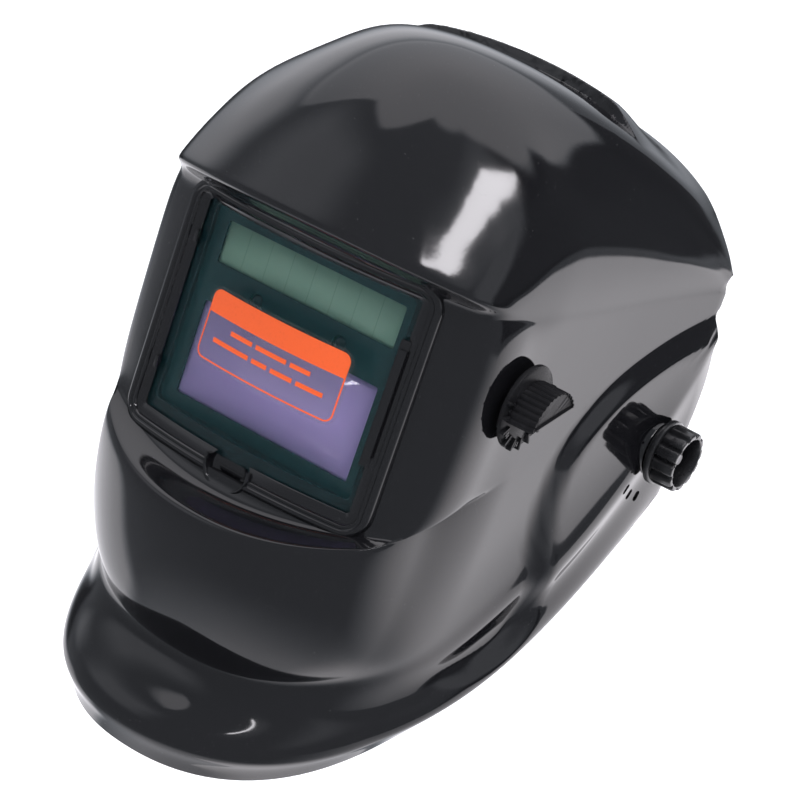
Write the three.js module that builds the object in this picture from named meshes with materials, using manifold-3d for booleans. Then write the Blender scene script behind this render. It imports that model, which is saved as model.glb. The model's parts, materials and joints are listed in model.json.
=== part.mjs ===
// Auto-darkening welding helmet: a tilting shell with its filter cartridge, hung on a ratchet headgear.
// Millimetres. Origin midway between the two tilt pivots, +X to the wearer's left, -Y the way the
// wearer looks, +Z up.
import * as THREE from "three";
import { mergeVertices } from "three/addons/utils/BufferGeometryUtils.js";
import Module from "manifold-3d";

const wasm = await Module();
wasm.setup();

// ---- driving dimensions ----
const GAP = 0.3;
const WALL = 2.2; // shell wall
const REAR_HALF_WIDTH = 108; // shell half width at its rear edge
const PANEL_RISE = 3.6; // the pivot panels stand this far out of the dome, which is let in by the next
const DOME_DROP = 2;
const COWL_RISE = 5.4; // raised cowl on the rear of the crown
const COWL_FRONT = -35;
const COWL_HALF = 69;
const COWL_BACK = 9;
const COWL_STEP = 3; // half the depth of its front edge
const COWL_FADE = 22; // run-out at each end
const PIVOT_FACE = 111; // outer face of the pivot seats
const PIVOT_SEAT_R = 18;
const BOLT_R = 3;
const SHELL_HOLE_R = 3.6;

const BEZEL = { x: 63, low: -50, high: 57, r: 9 };
const LENS = { x: 57.5, low: -44, high: 55, r: 4 };
const FRONT_OPENING = { x: 54, low: -42, high: 53, r: 5 };
const REAR_OPENING = { x: 52, low: -38, high: 50, r: 4 };
const WINDOW_R = 200; // plan radius of the window's front
const WINDOW_FRONT = -158;
const LENS_DEPTH = 4.5; // of the lens face behind the bezel's face
const LENS_THICK = 1.2;
const SEAT_DEPTH = 6; // of the lens seat's face behind the bezel's face
const SEAT_THICK = 2.8;

const CARTRIDGE = { x: 55, low: -39, high: 51, front: -140.9, back: -132.2, r: 4 };
const LCD = { x: 46, low: -33, high: 9 };
const SOLAR = { x: 46.5, low: 26, high: 44.5 };
const SENSOR = { x: 22, z: 18, r: 3.2 };

const DIAL = { y: -109, z: 20.6, seat: 93, bossR: 14, skirtR: 17.8, gripR: 14.6 };

const STACK = { front: -139.6, back: -138.2 }; // the parts behind the cartridge's front skin
const BOARD = { x: 51, low: 13, high: 48, front: -136.2, back: -135 };
const COIN = { x: 12, z: 30, r: 10, front: -134.7, back: -133.9 };
const INNER_LENS = { x: 51, low: -36.5, high: 12.5, thick: 1 };

const BAND_TILT = (-20 * Math.PI) / 180; // the headband slopes down to the nape
const BAND_CENTRE = new THREE.Vector3(0, 14, -6);
const STRAP_R = 82; // mean radius of the rear straps
const STRAP_T = 2;
const BAND_A = 83.4; // inner half width and inner depth of the front band
const BAND_B = 113;
const BAND_T = 1.8;
const PINION_TEETH = 12;
const PINION_R = 6;
const TOOTH = { add: 0.6, ded: 0.9, half: 0.55, flank: 0.3 };

// ---- materials ----
function plastic(colour, roughness) {
  return new THREE.MeshStandardMaterial({ color: colour, roughness, metalness: 0 });
}
function metal(colour, roughness) {
  return new THREE.MeshStandardMaterial({ color: colour, roughness, metalness: 1 });
}
const glossBlack = () => plastic(0x0d0d10, 0.12);
const satinBlack = () => plastic(0x141416, 0.45);
const mattBlack = () => plastic(0x1b1b1d, 0.7);
const steel = () => metal(0x9a9a9c, 0.35);
const foam = () => plastic(0x26262a, 0.95);

// ---- solids ----
function solid(geometry) {
  const plain = geometry.index ? geometry.toNonIndexed() : geometry.clone();
  plain.deleteAttribute("normal");
  plain.deleteAttribute("uv");
  const merged = mergeVertices(plain, 1e-4);
  return new wasm.Manifold(
    new wasm.Mesh({
      numProp: 3,
      vertProperties: merged.attributes.position.array,
      triVerts: new Uint32Array(merged.index.array),
    }),
  );
}
function geometryOf(made) {
  const mesh = made.getMesh();
  const points = new Float32Array(mesh.numVert * 3);
  for (let i = 0; i < mesh.numVert; i++) {
    points.set(mesh.vertProperties.subarray(i * mesh.numProp, i * mesh.numProp + 3), i * 3);
  }
  const geometry = new THREE.BufferGeometry();
  geometry.setAttribute("position", new THREE.BufferAttribute(points, 3));
  geometry.setIndex(new THREE.BufferAttribute(mesh.triVerts, 1));
  const flat = geometry.toNonIndexed();
  flat.computeVertexNormals();
  return flat;
}
function box(x0, x1, y0, y1, z0, z1) {
  const g = new THREE.BoxGeometry(x1 - x0, y1 - y0, z1 - z0);
  return g.translate((x0 + x1) / 2, (y0 + y1) / 2, (z0 + z1) / 2);
}
// Lengthwise turned bodies: the profile is [radius, position] pairs, first and last on the axis.
function turnedX(profile, y, z, segments = 24) {
  const g = new THREE.LatheGeometry(profile.map(([r, x]) => new THREE.Vector2(r, x)), segments);
  return g.rotateZ(-Math.PI / 2).translate(0, y, z);
}
function rodX(r, x0, x1, y, z, segments = 24) {
  return turnedX([[0, x0], [r, x0], [r, x1], [0, x1]], y, z, segments);
}
function rodY(r, y0, y1, x, z, segments = 24) {
  const g = new THREE.CylinderGeometry(r, r, y1 - y0, segments);
  return g.translate(x, (y0 + y1) / 2, z);
}
function roundedRect(x0, x1, z0, z1, r) {
  const s = new THREE.Shape();
  s.moveTo(x0 + r, z0);
  s.lineTo(x1 - r, z0);
  s.absarc(x1 - r, z0 + r, r, -Math.PI / 2, 0, false);
  s.lineTo(x1, z1 - r);
  s.absarc(x1 - r, z1 - r, r, 0, Math.PI / 2, false);
  s.lineTo(x0 + r, z1);
  s.absarc(x0 + r, z1 - r, r, Math.PI / 2, Math.PI, false);
  s.lineTo(x0, z0 + r);
  s.absarc(x0 + r, z0 + r, r, Math.PI, 1.5 * Math.PI, false);
  return s;
}
// A shape drawn in (x, z) given a thickness from y0 to y1.
function slabY(shape, y0, y1, curveSegments = 5) {
  const g = new THREE.ExtrudeGeometry(shape, { depth: y1 - y0, bevelEnabled: false, curveSegments });
  return g.rotateX(Math.PI / 2).translate(0, y1, 0);
}
// A shape drawn in (y, z) given a thickness from x0 to x1.
function slabX(shape, x0, x1, curveSegments = 6) {
  const g = new THREE.ExtrudeGeometry(shape, { depth: x1 - x0, bevelEnabled: false, curveSegments });
  return g.rotateX(Math.PI / 2).rotateZ(Math.PI / 2).translate(x0, 0, 0);
}
// A shape drawn in plan given a height from z0 to z1.
function slabZ(shape, z0, z1, curveSegments = 32) {
  const g = new THREE.ExtrudeGeometry(shape, { depth: z1 - z0, bevelEnabled: false, curveSegments });
  return g.translate(0, 0, z0);
}
function windowPrism({ x, low, high, r }, y0, y1, grow = 0) {
  const shape = roundedRect(-x - grow, x + grow, low - grow, high + grow, r + grow);
  return solid(slabY(shape, y0, y1));
}
function union(first, ...rest) {
  return rest.reduce((sum, piece) => sum.add(solid(piece)), solid(first));
}

const root = new THREE.Group();
root.name = "welding_helmet";
function add(name, made, material) {
  const geometry = made.isBufferGeometry ? made : geometryOf(made);
  const mesh = new THREE.Mesh(geometry, material);
  mesh.name = name;
  root.add(mesh);
}

// ---- shell surface ----
// Sections from the lower rim over the face to the rear arch. Each runs from the centre line round
// to the rear edge: [reach forward, squareness, half width, height at centre, at corner, on the side,
// at the rear, reach of the rear edge, share of the window's plan, share of the common side wall].
const SECTIONS = [
  [165, 2.2, 98, -175, -164, -106, -24, 19, 0, 0], // lower rim
  [170, 2.1, 107, -167, -154, -103, -18, 20, 0, 0],
  [175, 2.2, 106, -162, -156, -98, -4, 22, 0, 0], // chin lip
  [172, 2.3, 101, -152, -145, -86, 16, 25, 0, 0],
  [161, 2.3, 103, -144, -128, -80, 34, 24, 0, 0],
  [153, 2.4, 108, -135, -107, -72, 46, 19, 0, 0], // groove over the lip
  [153, 2.4, 104, -129, -103, -54, 50, 19, 0.1, 0.2],
  [160, 2.7, 98, -118, -98, -25, 56, 19, 0.3, 0.5], // snout
  [170, 2.7, 94, -95, -76, -2, 60, 19, 0.5, 0.9],
  [176, 2.6, 92, -72, -48, 12, 62, 19, 0.6, 1],
  [176, 2.5, 91, -64, -34, 17, 63, 19, 0.65, 1], // ledge under the window
  [173, 2.5, 91, -63, -32, 20, 64, 19.5, 0.7, 1],
  [160, 2.8, 95, -58, -21, 25, 65, 20, 0.9, 1],
  [156, 3.1, 98, -53, -16, 29, 66, 20, 1, 1],
  [156, 3.2, 100, -36, -8, 36, 67, 20, 1, 1], // window panel
  [156, 3.3, 101, 6, 17, 48, 69, 20, 1, 1],
  [157, 3.4, 101, 50, 45, 62, 71, 20, 1, 1],
  [158, 3.1, 97, 59, 46, 68, 72, 20, 0.95, 1],
  [171, 2.7, 97, 64, 48, 71, 73, 20, 0.75, 0.7], // brow lip
  [170, 2.5, 98, 68, 50, 74, 73.5, 20, 0.72, 0.6],
  [165, 2.4, 100, 77, 61, 77, 74, 20, 0.62, 0.45],
  [152, 2.2, 102, 103, 87, 84, 75, 20, 0.34, 0.2], // brow and crown
  [127, 1.95, 100, 130, 111, 93, 76, 20.3, 0, 0],
  [92, 1.85, 98, 147, 126, 96, 77, 20.8, 0, 0],
  [45, 2, 100, 140, 125, 95, 78, 21.5, 0, 0],
  [2, 2.1, 104, 130, 114, 89, 79, 22.5, 0, 0],
  [-17, 2.3, 106, 128, 107, 82, 80, 23.5, 0, 0], // rear arch
];
// Plan of the window's level: an arc across the front, a tight corner and a gentle side.
const PLAN = { panelEnd: 86, corner: [98, 24], sideStart: [99.5, 44], sideBow: [105, 100], ref: 110 };

function blendSections(v) {
  const last = SECTIONS.length - 1;
  const i = Math.min(Math.floor(v), last - 1);
  const t = v - i;
  const weights = [
    (1 - t) ** 3,
    3 * t ** 3 - 6 * t ** 2 + 4,
    -3 * t ** 3 + 3 * t ** 2 + 3 * t + 1,
    t ** 3,
  ];
  const pick = (k, field) => {
    if (k < 0) return 2 * SECTIONS[0][field] - SECTIONS[1][field];
    if (k > last) return 2 * SECTIONS[last][field] - SECTIONS[last - 1][field];
    return SECTIONS[k][field];
  };
  return SECTIONS[0].map((_, field) =>
    weights.reduce((sum, w, k) => sum + (w * pick(i - 1 + k, field)) / 6, 0),
  );
}
function quadratic(a, b, c, t) {
  return (1 - t) ** 2 * a + 2 * t * (1 - t) * b + t ** 2 * c;
}
function windowPlan(tau, rearX, depth) {
  const panelTo = 0.42;
  const cornerTo = 0.58;
  const sag = PLAN.panelEnd ** 2 / (2 * WINDOW_R);
  if (tau < panelTo) {
    const x = (tau / panelTo) * PLAN.panelEnd;
    return [x, x ** 2 / (2 * WINDOW_R)];
  }
  const [cx, cy] = PLAN.corner;
  const [sx, sy] = PLAN.sideStart;
  if (tau < cornerTo) {
    const t = (tau - panelTo) / (cornerTo - panelTo);
    return [quadratic(PLAN.panelEnd, cx, sx, t), quadratic(sag, cy, sy, t)];
  }
  const t = (tau - cornerTo) / (1 - cornerTo);
  const [bx, by] = PLAN.sideBow;
  return [quadratic(sx, bx, rearX, t), quadratic(sy, by, depth, t)];
}
// Half width of the side walls, which the sections share behind the window's corners.
const SIDE = { from: -112, x: 90.5, slope: 0.089, bow: 0.0004 };
function sideWall(y) {
  const run = y - SIDE.from;
  return SIDE.x + SIDE.slope * run + SIDE.bow * run ** 2;
}
function smooth(low, high, value) {
  const t = Math.min(Math.max((value - low) / (high - low), 0), 1);
  return t * t * (3 - 2 * t);
}
// Edge of the raised pivot panel, in (y, z), from the chin groove up and back to the rear notch.
const PANEL_EDGE = new THREE.SplineCurve(
  [[-150, -128], [-118, -117], [-88, -110], [-66, -103], [-52, -90], [-49, -70], [-56, -44],
    [-59, -22], [-56, -2], [-44, 17], [-28, 32], [-2, 48], [26, 60]].map(([y, z]) => new THREE.Vector2(y, z)),
).getPoints(60);
function beyondPanelEdge(y, z) {
  let best = Infinity;
  let side = 1;
  for (let i = 1; i < PANEL_EDGE.length; i++) {
    const a = PANEL_EDGE[i - 1];
    const b = PANEL_EDGE[i];
    const dy = b.x - a.x;
    const dz = b.y - a.y;
    const t = Math.min(Math.max(((y - a.x) * dy + (z - a.y) * dz) / (dy * dy + dz * dz), 0), 1);
    const distance = Math.hypot(y - a.x - t * dy, z - a.y - t * dz);
    if (distance < best) {
      best = distance;
      side = Math.sign((y - a.x) * dz - (z - a.y) * dy) || 1;
    }
  }
  return best * side;
}
function shellPoint(section, tau) {
  const [reach, n, halfWidth, z0, z1, z2, z3, rear, share, settle] = section;
  const a = Math.sin((tau * Math.PI) / 2) ** (2 / n);
  let back = 1 - Math.max(Math.cos((tau * Math.PI) / 2), 0) ** (2 / n);
  const depth = rear + reach;
  let x = a * (halfWidth + (REAR_HALF_WIDTH - halfWidth) * back ** 2);
  let y = depth * back - reach;
  const scale = halfWidth / PLAN.ref;
  const [px, py] = windowPlan(tau, REAR_HALF_WIDTH / scale, depth);
  x += (px * scale - x) * share;
  y += (py - reach - y) * share;
  x += (sideWall(y) - x) * settle * smooth(-128, -92, y);
  back = (y + reach) / depth;
  const front = 1 - back;
  let z = front ** 3 * z0 + 3 * back * front ** 2 * z1 + 3 * back ** 2 * front * z2 + back ** 3 * z3;
  const sideways = smooth(80, 100, x) * smooth(-140, -105, y);
  x += sideways * ((PANEL_RISE + DOME_DROP) * smooth(-5, 5, beyondPanelEdge(y, z)) - DOME_DROP);
  const behindFront = smooth(COWL_FRONT - COWL_STEP, COWL_FRONT + COWL_STEP, y)
    * (1 - smooth(COWL_FRONT + 2 * COWL_STEP, COWL_BACK, y));
  const overCowl = behindFront * (1 - smooth(COWL_HALF - COWL_FADE, COWL_HALF, x));
  z += COWL_RISE * overCowl * smooth(100, 120, z);
  return new THREE.Vector3(x, y, z);
}
// Rows closer together where the surface turns sharply, columns closer at the corner.
const ROW_TURNS = [0, 2, 5, 8, 14, 15, 18, 20, 21, 22, 23, 24];
const ROW_STEPS = SECTIONS.slice(1).map((_, i) => (ROW_TURNS.includes(i) ? 2 : 1));
function rowStations() {
  const stations = [];
  let v = 0;
  ROW_STEPS.forEach((steps, i) => {
    for (; v < i + 1 - 1e-6; v += 1 / steps) stations.push(v);
  });
  stations.push(SECTIONS.length - 1);
  return stations;
}
const HALF_COLUMNS = 16;
function shellGrid() {
  return rowStations().map((v) => {
    const section = blendSections(v);
    const half = [];
    for (let i = 0; i <= HALF_COLUMNS; i++) half.push(shellPoint(section, i / HALF_COLUMNS));
    const other = half.slice(1).map((p) => new THREE.Vector3(-p.x, p.y, p.z));
    return [...other.reverse(), ...half];
  });
}
function gridNormals(grid, reachRows) {
  const last = grid.length - 1;
  const columns = grid[0].length - 1;
  return grid.map((row, i) =>
    row.map((_, j) => {
      const down = grid[Math.max(i - reachRows, 0)][j];
      const up = grid[Math.min(i + reachRows, last)][j];
      const left = row[Math.max(j - 1, 0)];
      const right = row[Math.min(j + 1, columns)];
      const along = right.clone().sub(left);
      return along.cross(up.clone().sub(down)).normalize();
    }),
  );
}
function loftedShell() {
  const outer = shellGrid();
  const normals = gridNormals(outer, 3);
  const inner = outer.map((row, i) => row.map((p, j) => p.clone().addScaledVector(normals[i][j], -WALL)));
  const rows = outer.length;
  const columns = outer[0].length;
  const points = [...outer.flat(), ...inner.flat()];
  const offset = rows * columns;
  const at = (i, j) => i * columns + j;
  const faces = [];
  const quad = (a, b, c, d) => faces.push(a, b, c, a, c, d);
  for (let i = 0; i < rows - 1; i++) {
    for (let j = 0; j < columns - 1; j++) {
      quad(at(i, j), at(i, j + 1), at(i + 1, j + 1), at(i + 1, j));
      quad(offset + at(i, j), offset + at(i + 1, j), offset + at(i + 1, j + 1), offset + at(i, j + 1));
    }
  }
  for (let j = 0; j < columns - 1; j++) {
    quad(at(0, j + 1), at(0, j), offset + at(0, j), offset + at(0, j + 1));
    quad(at(rows - 1, j), at(rows - 1, j + 1), offset + at(rows - 1, j + 1), offset + at(rows - 1, j));
  }
  for (let i = 0; i < rows - 1; i++) {
    quad(at(i, 0), at(i + 1, 0), offset + at(i + 1, 0), offset + at(i, 0));
    const j = columns - 1;
    quad(at(i + 1, j), at(i, j), offset + at(i, j), offset + at(i + 1, j));
  }
  const geometry = new THREE.BufferGeometry();
  geometry.setAttribute("position", new THREE.Float32BufferAttribute(points.flatMap((p) => p.toArray()), 3));
  geometry.setIndex(faces);
  return solid(geometry);
}

// ---- window ----
// Solid between two depths behind the bezel's face, round the window's own axis.
const TALL = 80; // reaches over and under the whole window
function windowLayer(near, far, low = -TALL, high = TALL) {
  const r0 = WINDOW_R - far;
  const r1 = WINDOW_R - near;
  const profile = [[r0, low], [r1, low], [r1, high], [r0, high], [r0, low]];
  const g = new THREE.LatheGeometry(profile.map(([r, z]) => new THREE.Vector2(r, z)), 120);
  return solid(g.rotateX(Math.PI / 2).translate(0, WINDOW_FRONT + WINDOW_R, 0));
}
const FRONT = [WINDOW_FRONT - 25, -125];
const SEAT_BACK = SEAT_DEPTH + SEAT_THICK;
const NOTCH = { half: 12, low: -55, high: -40, r: 6, depth: 5 };

function bezel() {
  const body = windowPrism(BEZEL, ...FRONT, 1.5).intersect(windowLayer(0, SEAT_BACK));
  const pocket = windowPrism(LENS, ...FRONT, GAP).intersect(
    windowLayer(LENS_DEPTH - GAP, SEAT_DEPTH),
  );
  const front = windowPrism(FRONT_OPENING, ...FRONT).intersect(windowLayer(-1, SEAT_DEPTH - 1));
  return body.subtract(pocket).subtract(front).subtract(windowPrism(REAR_OPENING, ...FRONT));
}
function notchPocket() {
  const shape = roundedRect(-NOTCH.half, NOTCH.half, NOTCH.low, NOTCH.high, NOTCH.r);
  return solid(slabY(shape, ...FRONT)).intersect(windowLayer(-20, NOTCH.depth - 0.5, -TALL, 0));
}
function notchFloor() {
  const shape = roundedRect(-NOTCH.half - 2, NOTCH.half + 2, NOTCH.low - 2, LENS.low - 1, 3);
  return solid(slabY(shape, ...FRONT)).intersect(windowLayer(2, NOTCH.depth + 2.4, -TALL, 0));
}
// Ribs inside the shell whose hooks hold the retaining frame.
const RIB = { x0: 60.8, x1: 63, z0: -14, z1: 26, front: -141.6, back: -127.6, hook: 2.2 };
function frameRib(side) {
  const flip = (x0, x1, ...rest) => (side > 0 ? box(x0, x1, ...rest) : box(-x1, -x0, ...rest));
  return [
    flip(RIB.x0, RIB.x1, RIB.front, RIB.back, RIB.z0, RIB.z1),
    flip(RIB.x0 - RIB.hook, RIB.x1, RIB.back - 1.6, RIB.back, RIB.z0, RIB.z1),
  ];
}
// Three slots for the angle stop's peg, on an arc under the pivot.
const STOP_ARC_R = 23.5;
const STOP_ANGLES = [-126, -109, -92];
const STOP_SLOT = { r: 1.1, half: 1.2, lean: 0.35 };
function stopSlot(angle, side) {
  const turn = THREE.MathUtils.degToRad(angle);
  const y = STOP_ARC_R * Math.cos(turn);
  const z = STOP_ARC_R * Math.sin(turn);
  const ends = [-STOP_SLOT.half, STOP_SLOT.half].map((d) =>
    rodX(STOP_SLOT.r, PIVOT_FACE - 7, PIVOT_FACE + 5, y + d * STOP_SLOT.lean, z + d, 10),
  );
  const slot = union(...ends).hull();
  return side > 0 ? slot : slot.mirror([1, 0, 0]);
}
const POT_HOLE_R = 4;
function shell() {
  let body = loftedShell().subtract(windowPrism(BEZEL, ...FRONT));
  body = body.add(bezel()).add(notchFloor()).subtract(notchPocket());
  const seat = solid(rodX(PIVOT_SEAT_R, PIVOT_FACE - WALL, PIVOT_FACE, 0, 0, 36));
  const hole = solid(rodX(SHELL_HOLE_R, PIVOT_FACE - 20, PIVOT_FACE + 10, 0, 0));
  for (const side of [1, -1]) {
    const sided = (made) => (side > 0 ? made : made.mirror([1, 0, 0]));
    for (const piece of frameRib(side)) body = body.add(solid(piece));
    body = body.add(sided(seat)).subtract(sided(hole));
    for (const angle of STOP_ANGLES) body = body.subtract(stopSlot(angle, side));
  }
  const boss = rodX(DIAL.bossR, DIAL.seat - 4.5, DIAL.seat, DIAL.y, DIAL.z, 32);
  const potHole = rodX(POT_HOLE_R, DIAL.seat - 15, DIAL.seat + 15, DIAL.y, DIAL.z);
  return body.add(solid(boss)).subtract(solid(potHole));
}
add("shell", shell(), glossBlack());

function lensSheet(outline, near, thick) {
  return windowPrism(outline, ...FRONT).intersect(windowLayer(near, near + thick));
}
const lensMaterial = plastic(0x2e4a4c, 0.08);
lensMaterial.transparent = true;
lensMaterial.opacity = 0.45;
add("front_cover_lens", lensSheet(LENS, LENS_DEPTH, LENS_THICK), lensMaterial);
const FILM = { x: 36, low: -11, high: 19.2, r: 4 };
add("film_label", lensSheet(FILM, LENS_DEPTH - 0.7, 0.4), plastic(0xe05a1c, 0.5));

// ---- filter cartridge ----
const SPLIT = -136.6; // the cartridge's halves meet here
function cartridgeFront() {
  const { front } = CARTRIDGE;
  const skin = 1.2;
  let body = windowPrism(CARTRIDGE, front, SPLIT - GAP / 2);
  body = body.subtract(windowPrism(CARTRIDGE, front + skin, SPLIT, -1.6));
  const view = { x: LCD.x, low: LCD.low, high: LCD.high, r: 1 };
  const solar = { x: SOLAR.x, low: SOLAR.low, high: SOLAR.high, r: 1 };
  body = body.subtract(windowPrism(view, front - 1, SPLIT)).subtract(windowPrism(solar, front - 1, SPLIT));
  for (const x of [-SENSOR.x, SENSOR.x]) {
    body = body.subtract(solid(rodY(SENSOR.r + GAP, front - 1, SPLIT, x, SENSOR.z)));
  }
  return body;
}
const DIALS = { z: 40, x: 28, r: 7.5, shaft: 2, cap: 3.4, grip: { half: 1.1, reach: 6.5, end: 5.4 } };
function cartridgeRear() {
  const { back } = CARTRIDGE;
  const skin = 1.4;
  let body = windowPrism(CARTRIDGE, SPLIT + GAP / 2, back);
  body = body.subtract(windowPrism(CARTRIDGE, SPLIT, back - skin, -1.6));
  const view = { x: LCD.x, low: LCD.low, high: LCD.high, r: 1 };
  body = body.subtract(windowPrism(view, SPLIT, back + 1));
  for (const x of [-DIALS.x, DIALS.x]) {
    body = body.subtract(solid(rodY(DIALS.shaft + 0.4, SPLIT, back + 1, x, DIALS.z)));
  }
  return body;
}
add("cartridge_front_housing", cartridgeFront(), plastic(0x1e3336, 0.35));
add("cartridge_rear_housing", cartridgeRear(), satinBlack());
const BORDER = 1.5; // the cell and the filter reach this far behind the edges of their windows
function behindWindow({ x, low, high }, thick) {
  const y0 = STACK.front;
  return box(-x - BORDER, x + BORDER, y0, y0 + thick, low - BORDER, high + BORDER);
}
add("solar_cell", behindWindow(SOLAR, STACK.back - STACK.front), plastic(0x647f72, 0.25));
add("lcd_shutter", behindWindow(LCD, 2.4), plastic(0x9182af, 0.08));
function arcSensor() {
  const dome = [[0, 1.6], [1.4, 1.35], [2.4, 0.7], [SENSOR.r - 0.2, 0], [SENSOR.r - 0.2, -1.4], [0, -1.4]];
  const g = new THREE.LatheGeometry(dome.reverse().map(([r, y]) => new THREE.Vector2(r, y)), 16);
  return g.rotateX(Math.PI);
}
for (const [name, side] of [["left", 1], ["right", -1]]) {
  const g = arcSensor().translate(side * SENSOR.x, CARTRIDGE.front + 1, SENSOR.z);
  add(`arc_sensor_${name}`, g, plastic(0x101418, 0.1));
}
const board = box(-BOARD.x, BOARD.x, BOARD.front, BOARD.back, BOARD.low, BOARD.high);
add("circuit_board", board, plastic(0x1d5a34, 0.5));
for (const [name, side] of [["left", 1], ["right", -1]]) {
  add(`coin_cell_${name}`, rodY(COIN.r, COIN.front, COIN.back, side * COIN.x, COIN.z, 28), steel());
}
function thumbDial(x, { z, r, shaft, cap, grip }) {
  const { back } = CARTRIDGE;
  const disc = solid(rodY(r, back + GAP, back + cap, x, z, 28));
  const { half, reach, end } = grip;
  const bar = box(x - half, x + half, back + cap - GAP, back + end, z - reach, z + reach);
  return disc.add(solid(bar)).add(solid(rodY(shaft, COIN.front, back + 1, x, z, 16)));
}
add("sensitivity_dial", thumbDial(DIALS.x, DIALS), satinBlack());
add("delay_dial", thumbDial(-DIALS.x, DIALS), satinBlack());
const innerLens = plastic(0xaab4b8, 0.05);
innerLens.transparent = true;
innerLens.opacity = 0.35;
function innerCoverLens({ x, low, high, thick }) {
  const front = CARTRIDGE.back + GAP;
  return box(-x, x, front, front + thick, low, high);
}
add("inner_cover_lens", innerCoverLens(INNER_LENS), innerLens);
const RETAINER = { x: 58.2, low: -42.4, high: 54.4, r: 5, front: STACK.front, back: -130 };
const RETAINER_VIEW = { x: 49.5, low: -34, high: 10.5, r: 4 };
const RETAINER_HOLLOW = { x: 52.5, low: -37.6, high: 48.4, r: 3 };
const RETAINER_EAR = { x0: 57, x1: 60.4, front: -131.6, back: -129.6, low: -12, high: 24 };
const CABLE_WAY = { x0: 50, x1: 70, low: 41, high: 47 };
function retainingFrame() {
  const { front, back } = RETAINER;
  const ear = RETAINER_EAR;
  let body = windowPrism(RETAINER, front, back);
  body = body.subtract(windowPrism(CARTRIDGE, front - 1, CARTRIDGE.back + GAP, 0.4));
  body = body.subtract(windowPrism(RETAINER_HOLLOW, front, back + 1));
  body = body.add(solid(box(ear.x0, ear.x1, ear.front, ear.back, ear.low, ear.high)));
  body = body.add(solid(box(-ear.x1, -ear.x0, ear.front, ear.back, ear.low, ear.high)));
  const cableWay = box(CABLE_WAY.x0, CABLE_WAY.x1, front - 1, back - 0.8, CABLE_WAY.low, CABLE_WAY.high);
  return body.subtract(solid(cableWay)).subtract(windowPrism(RETAINER_VIEW, back, back + 1));
}
add("filter_retaining_frame", retainingFrame(), mattBlack());

// ---- shade control ----
function hexX(across, x0, x1, y, z) {
  return rodX(across / Math.sqrt(3), x0, x1, y, z, 6);
}
const POT = { back: 73.5, front: 85, r: 8.5, bush: 3.6, bushEnd: 95.2, shaft: 2.8, shaftEnd: 100.4 };
function potentiometer() {
  const profile = [
    [0, POT.back], [POT.r, POT.back], [POT.r, POT.front], [POT.bush, POT.front],
    [POT.bush, POT.bushEnd], [POT.shaft, POT.bushEnd], [POT.shaft, POT.shaftEnd], [0, POT.shaftEnd],
  ];
  return turnedX(profile, DIAL.y, DIAL.z);
}
add("shade_potentiometer", potentiometer(), metal(0x8a8a8c, 0.4));
function potNut() {
  const hole = rodX(POT.bush + 0.2, DIAL.seat, DIAL.seat + 3, DIAL.y, DIAL.z);
  return solid(hexX(12, DIAL.seat + GAP, DIAL.seat + 2, DIAL.y, DIAL.z)).subtract(solid(hole));
}
add("potentiometer_nut", potNut(), steel());
const SKIRT = { back: DIAL.seat + 0.5, face: DIAL.seat + 4, rim: 1.2 };
const GRIP_END = DIAL.seat + 16;
const GRIP_TURN = 19; // degrees from +Y up to the grip's flat
const GRIP_RIDGES = 15;
const HUB_R = 5.2;
const SKIRT_MARKS = [150, 185, 220, 255, 290, 325];
function shadeKnob() {
  const { back, face, rim } = SKIRT;
  const disc = [[0, back], [DIAL.skirtR - 0.8, back], [DIAL.skirtR, back + 0.8], [DIAL.skirtR, face - rim],
    [DIAL.skirtR - rim, face], [0, face]];
  let body = solid(turnedX(disc, 0, 0, 48));
  const half = new THREE.Shape();
  half.absarc(0, 0, DIAL.gripR, 0, Math.PI, false);
  let grip = solid(slabX(half, face - 0.5, GRIP_END, 24));
  for (let i = 1; i <= GRIP_RIDGES; i++) {
    const turn = (i * Math.PI) / (GRIP_RIDGES + 1);
    const [y, z] = [(DIAL.gripR + GAP) * Math.cos(turn), (DIAL.gripR + GAP) * Math.sin(turn)];
    grip = grip.subtract(solid(rodX(0.7, face, GRIP_END - 1.2, y, z, 5)));
  }
  body = body.add(grip).add(solid(rodX(HUB_R, face - 0.5, POT.shaftEnd + 1.4, 0, 0)));
  body = body.subtract(solid(rodX(7.6, back - 1, face - 1.4, 0, 0)));
  body = body.subtract(solid(rodX(POT.shaft + GAP, back, POT.shaftEnd + GAP, 0, 0)));
  for (const turn of SKIRT_MARKS) {
    const mark = box(face - 0.4, face + 0.3, DIAL.skirtR - 4, DIAL.skirtR - 1.4, -0.4, 0.4);
    body = body.add(solid(mark.rotateX(THREE.MathUtils.degToRad(turn))));
  }
  return body.rotate([GRIP_TURN, 0, 0]).translate([0, DIAL.y, DIAL.z]);
}
add("shade_knob", shadeKnob(), satinBlack());
const SHADE_CABLE = [[56, -134.8, 44], [61, -132.4, 44], [65, -124, 38], [68, -114, 28], [72.2, -109, 20.6]];
function tubeAlong(points, r, steps, segments = 8) {
  const curve = new THREE.CatmullRomCurve3(points.map((p) => new THREE.Vector3(...p)));
  const ring = new THREE.Shape();
  ring.absarc(0, 0, r, 0, 2 * Math.PI, false);
  return new THREE.ExtrudeGeometry(ring, { steps, curveSegments: segments, extrudePath: curve });
}
add("shade_cable", tubeAlong(SHADE_CABLE, 1.2, 14), plastic(0x1a1a1c, 0.6));

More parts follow.
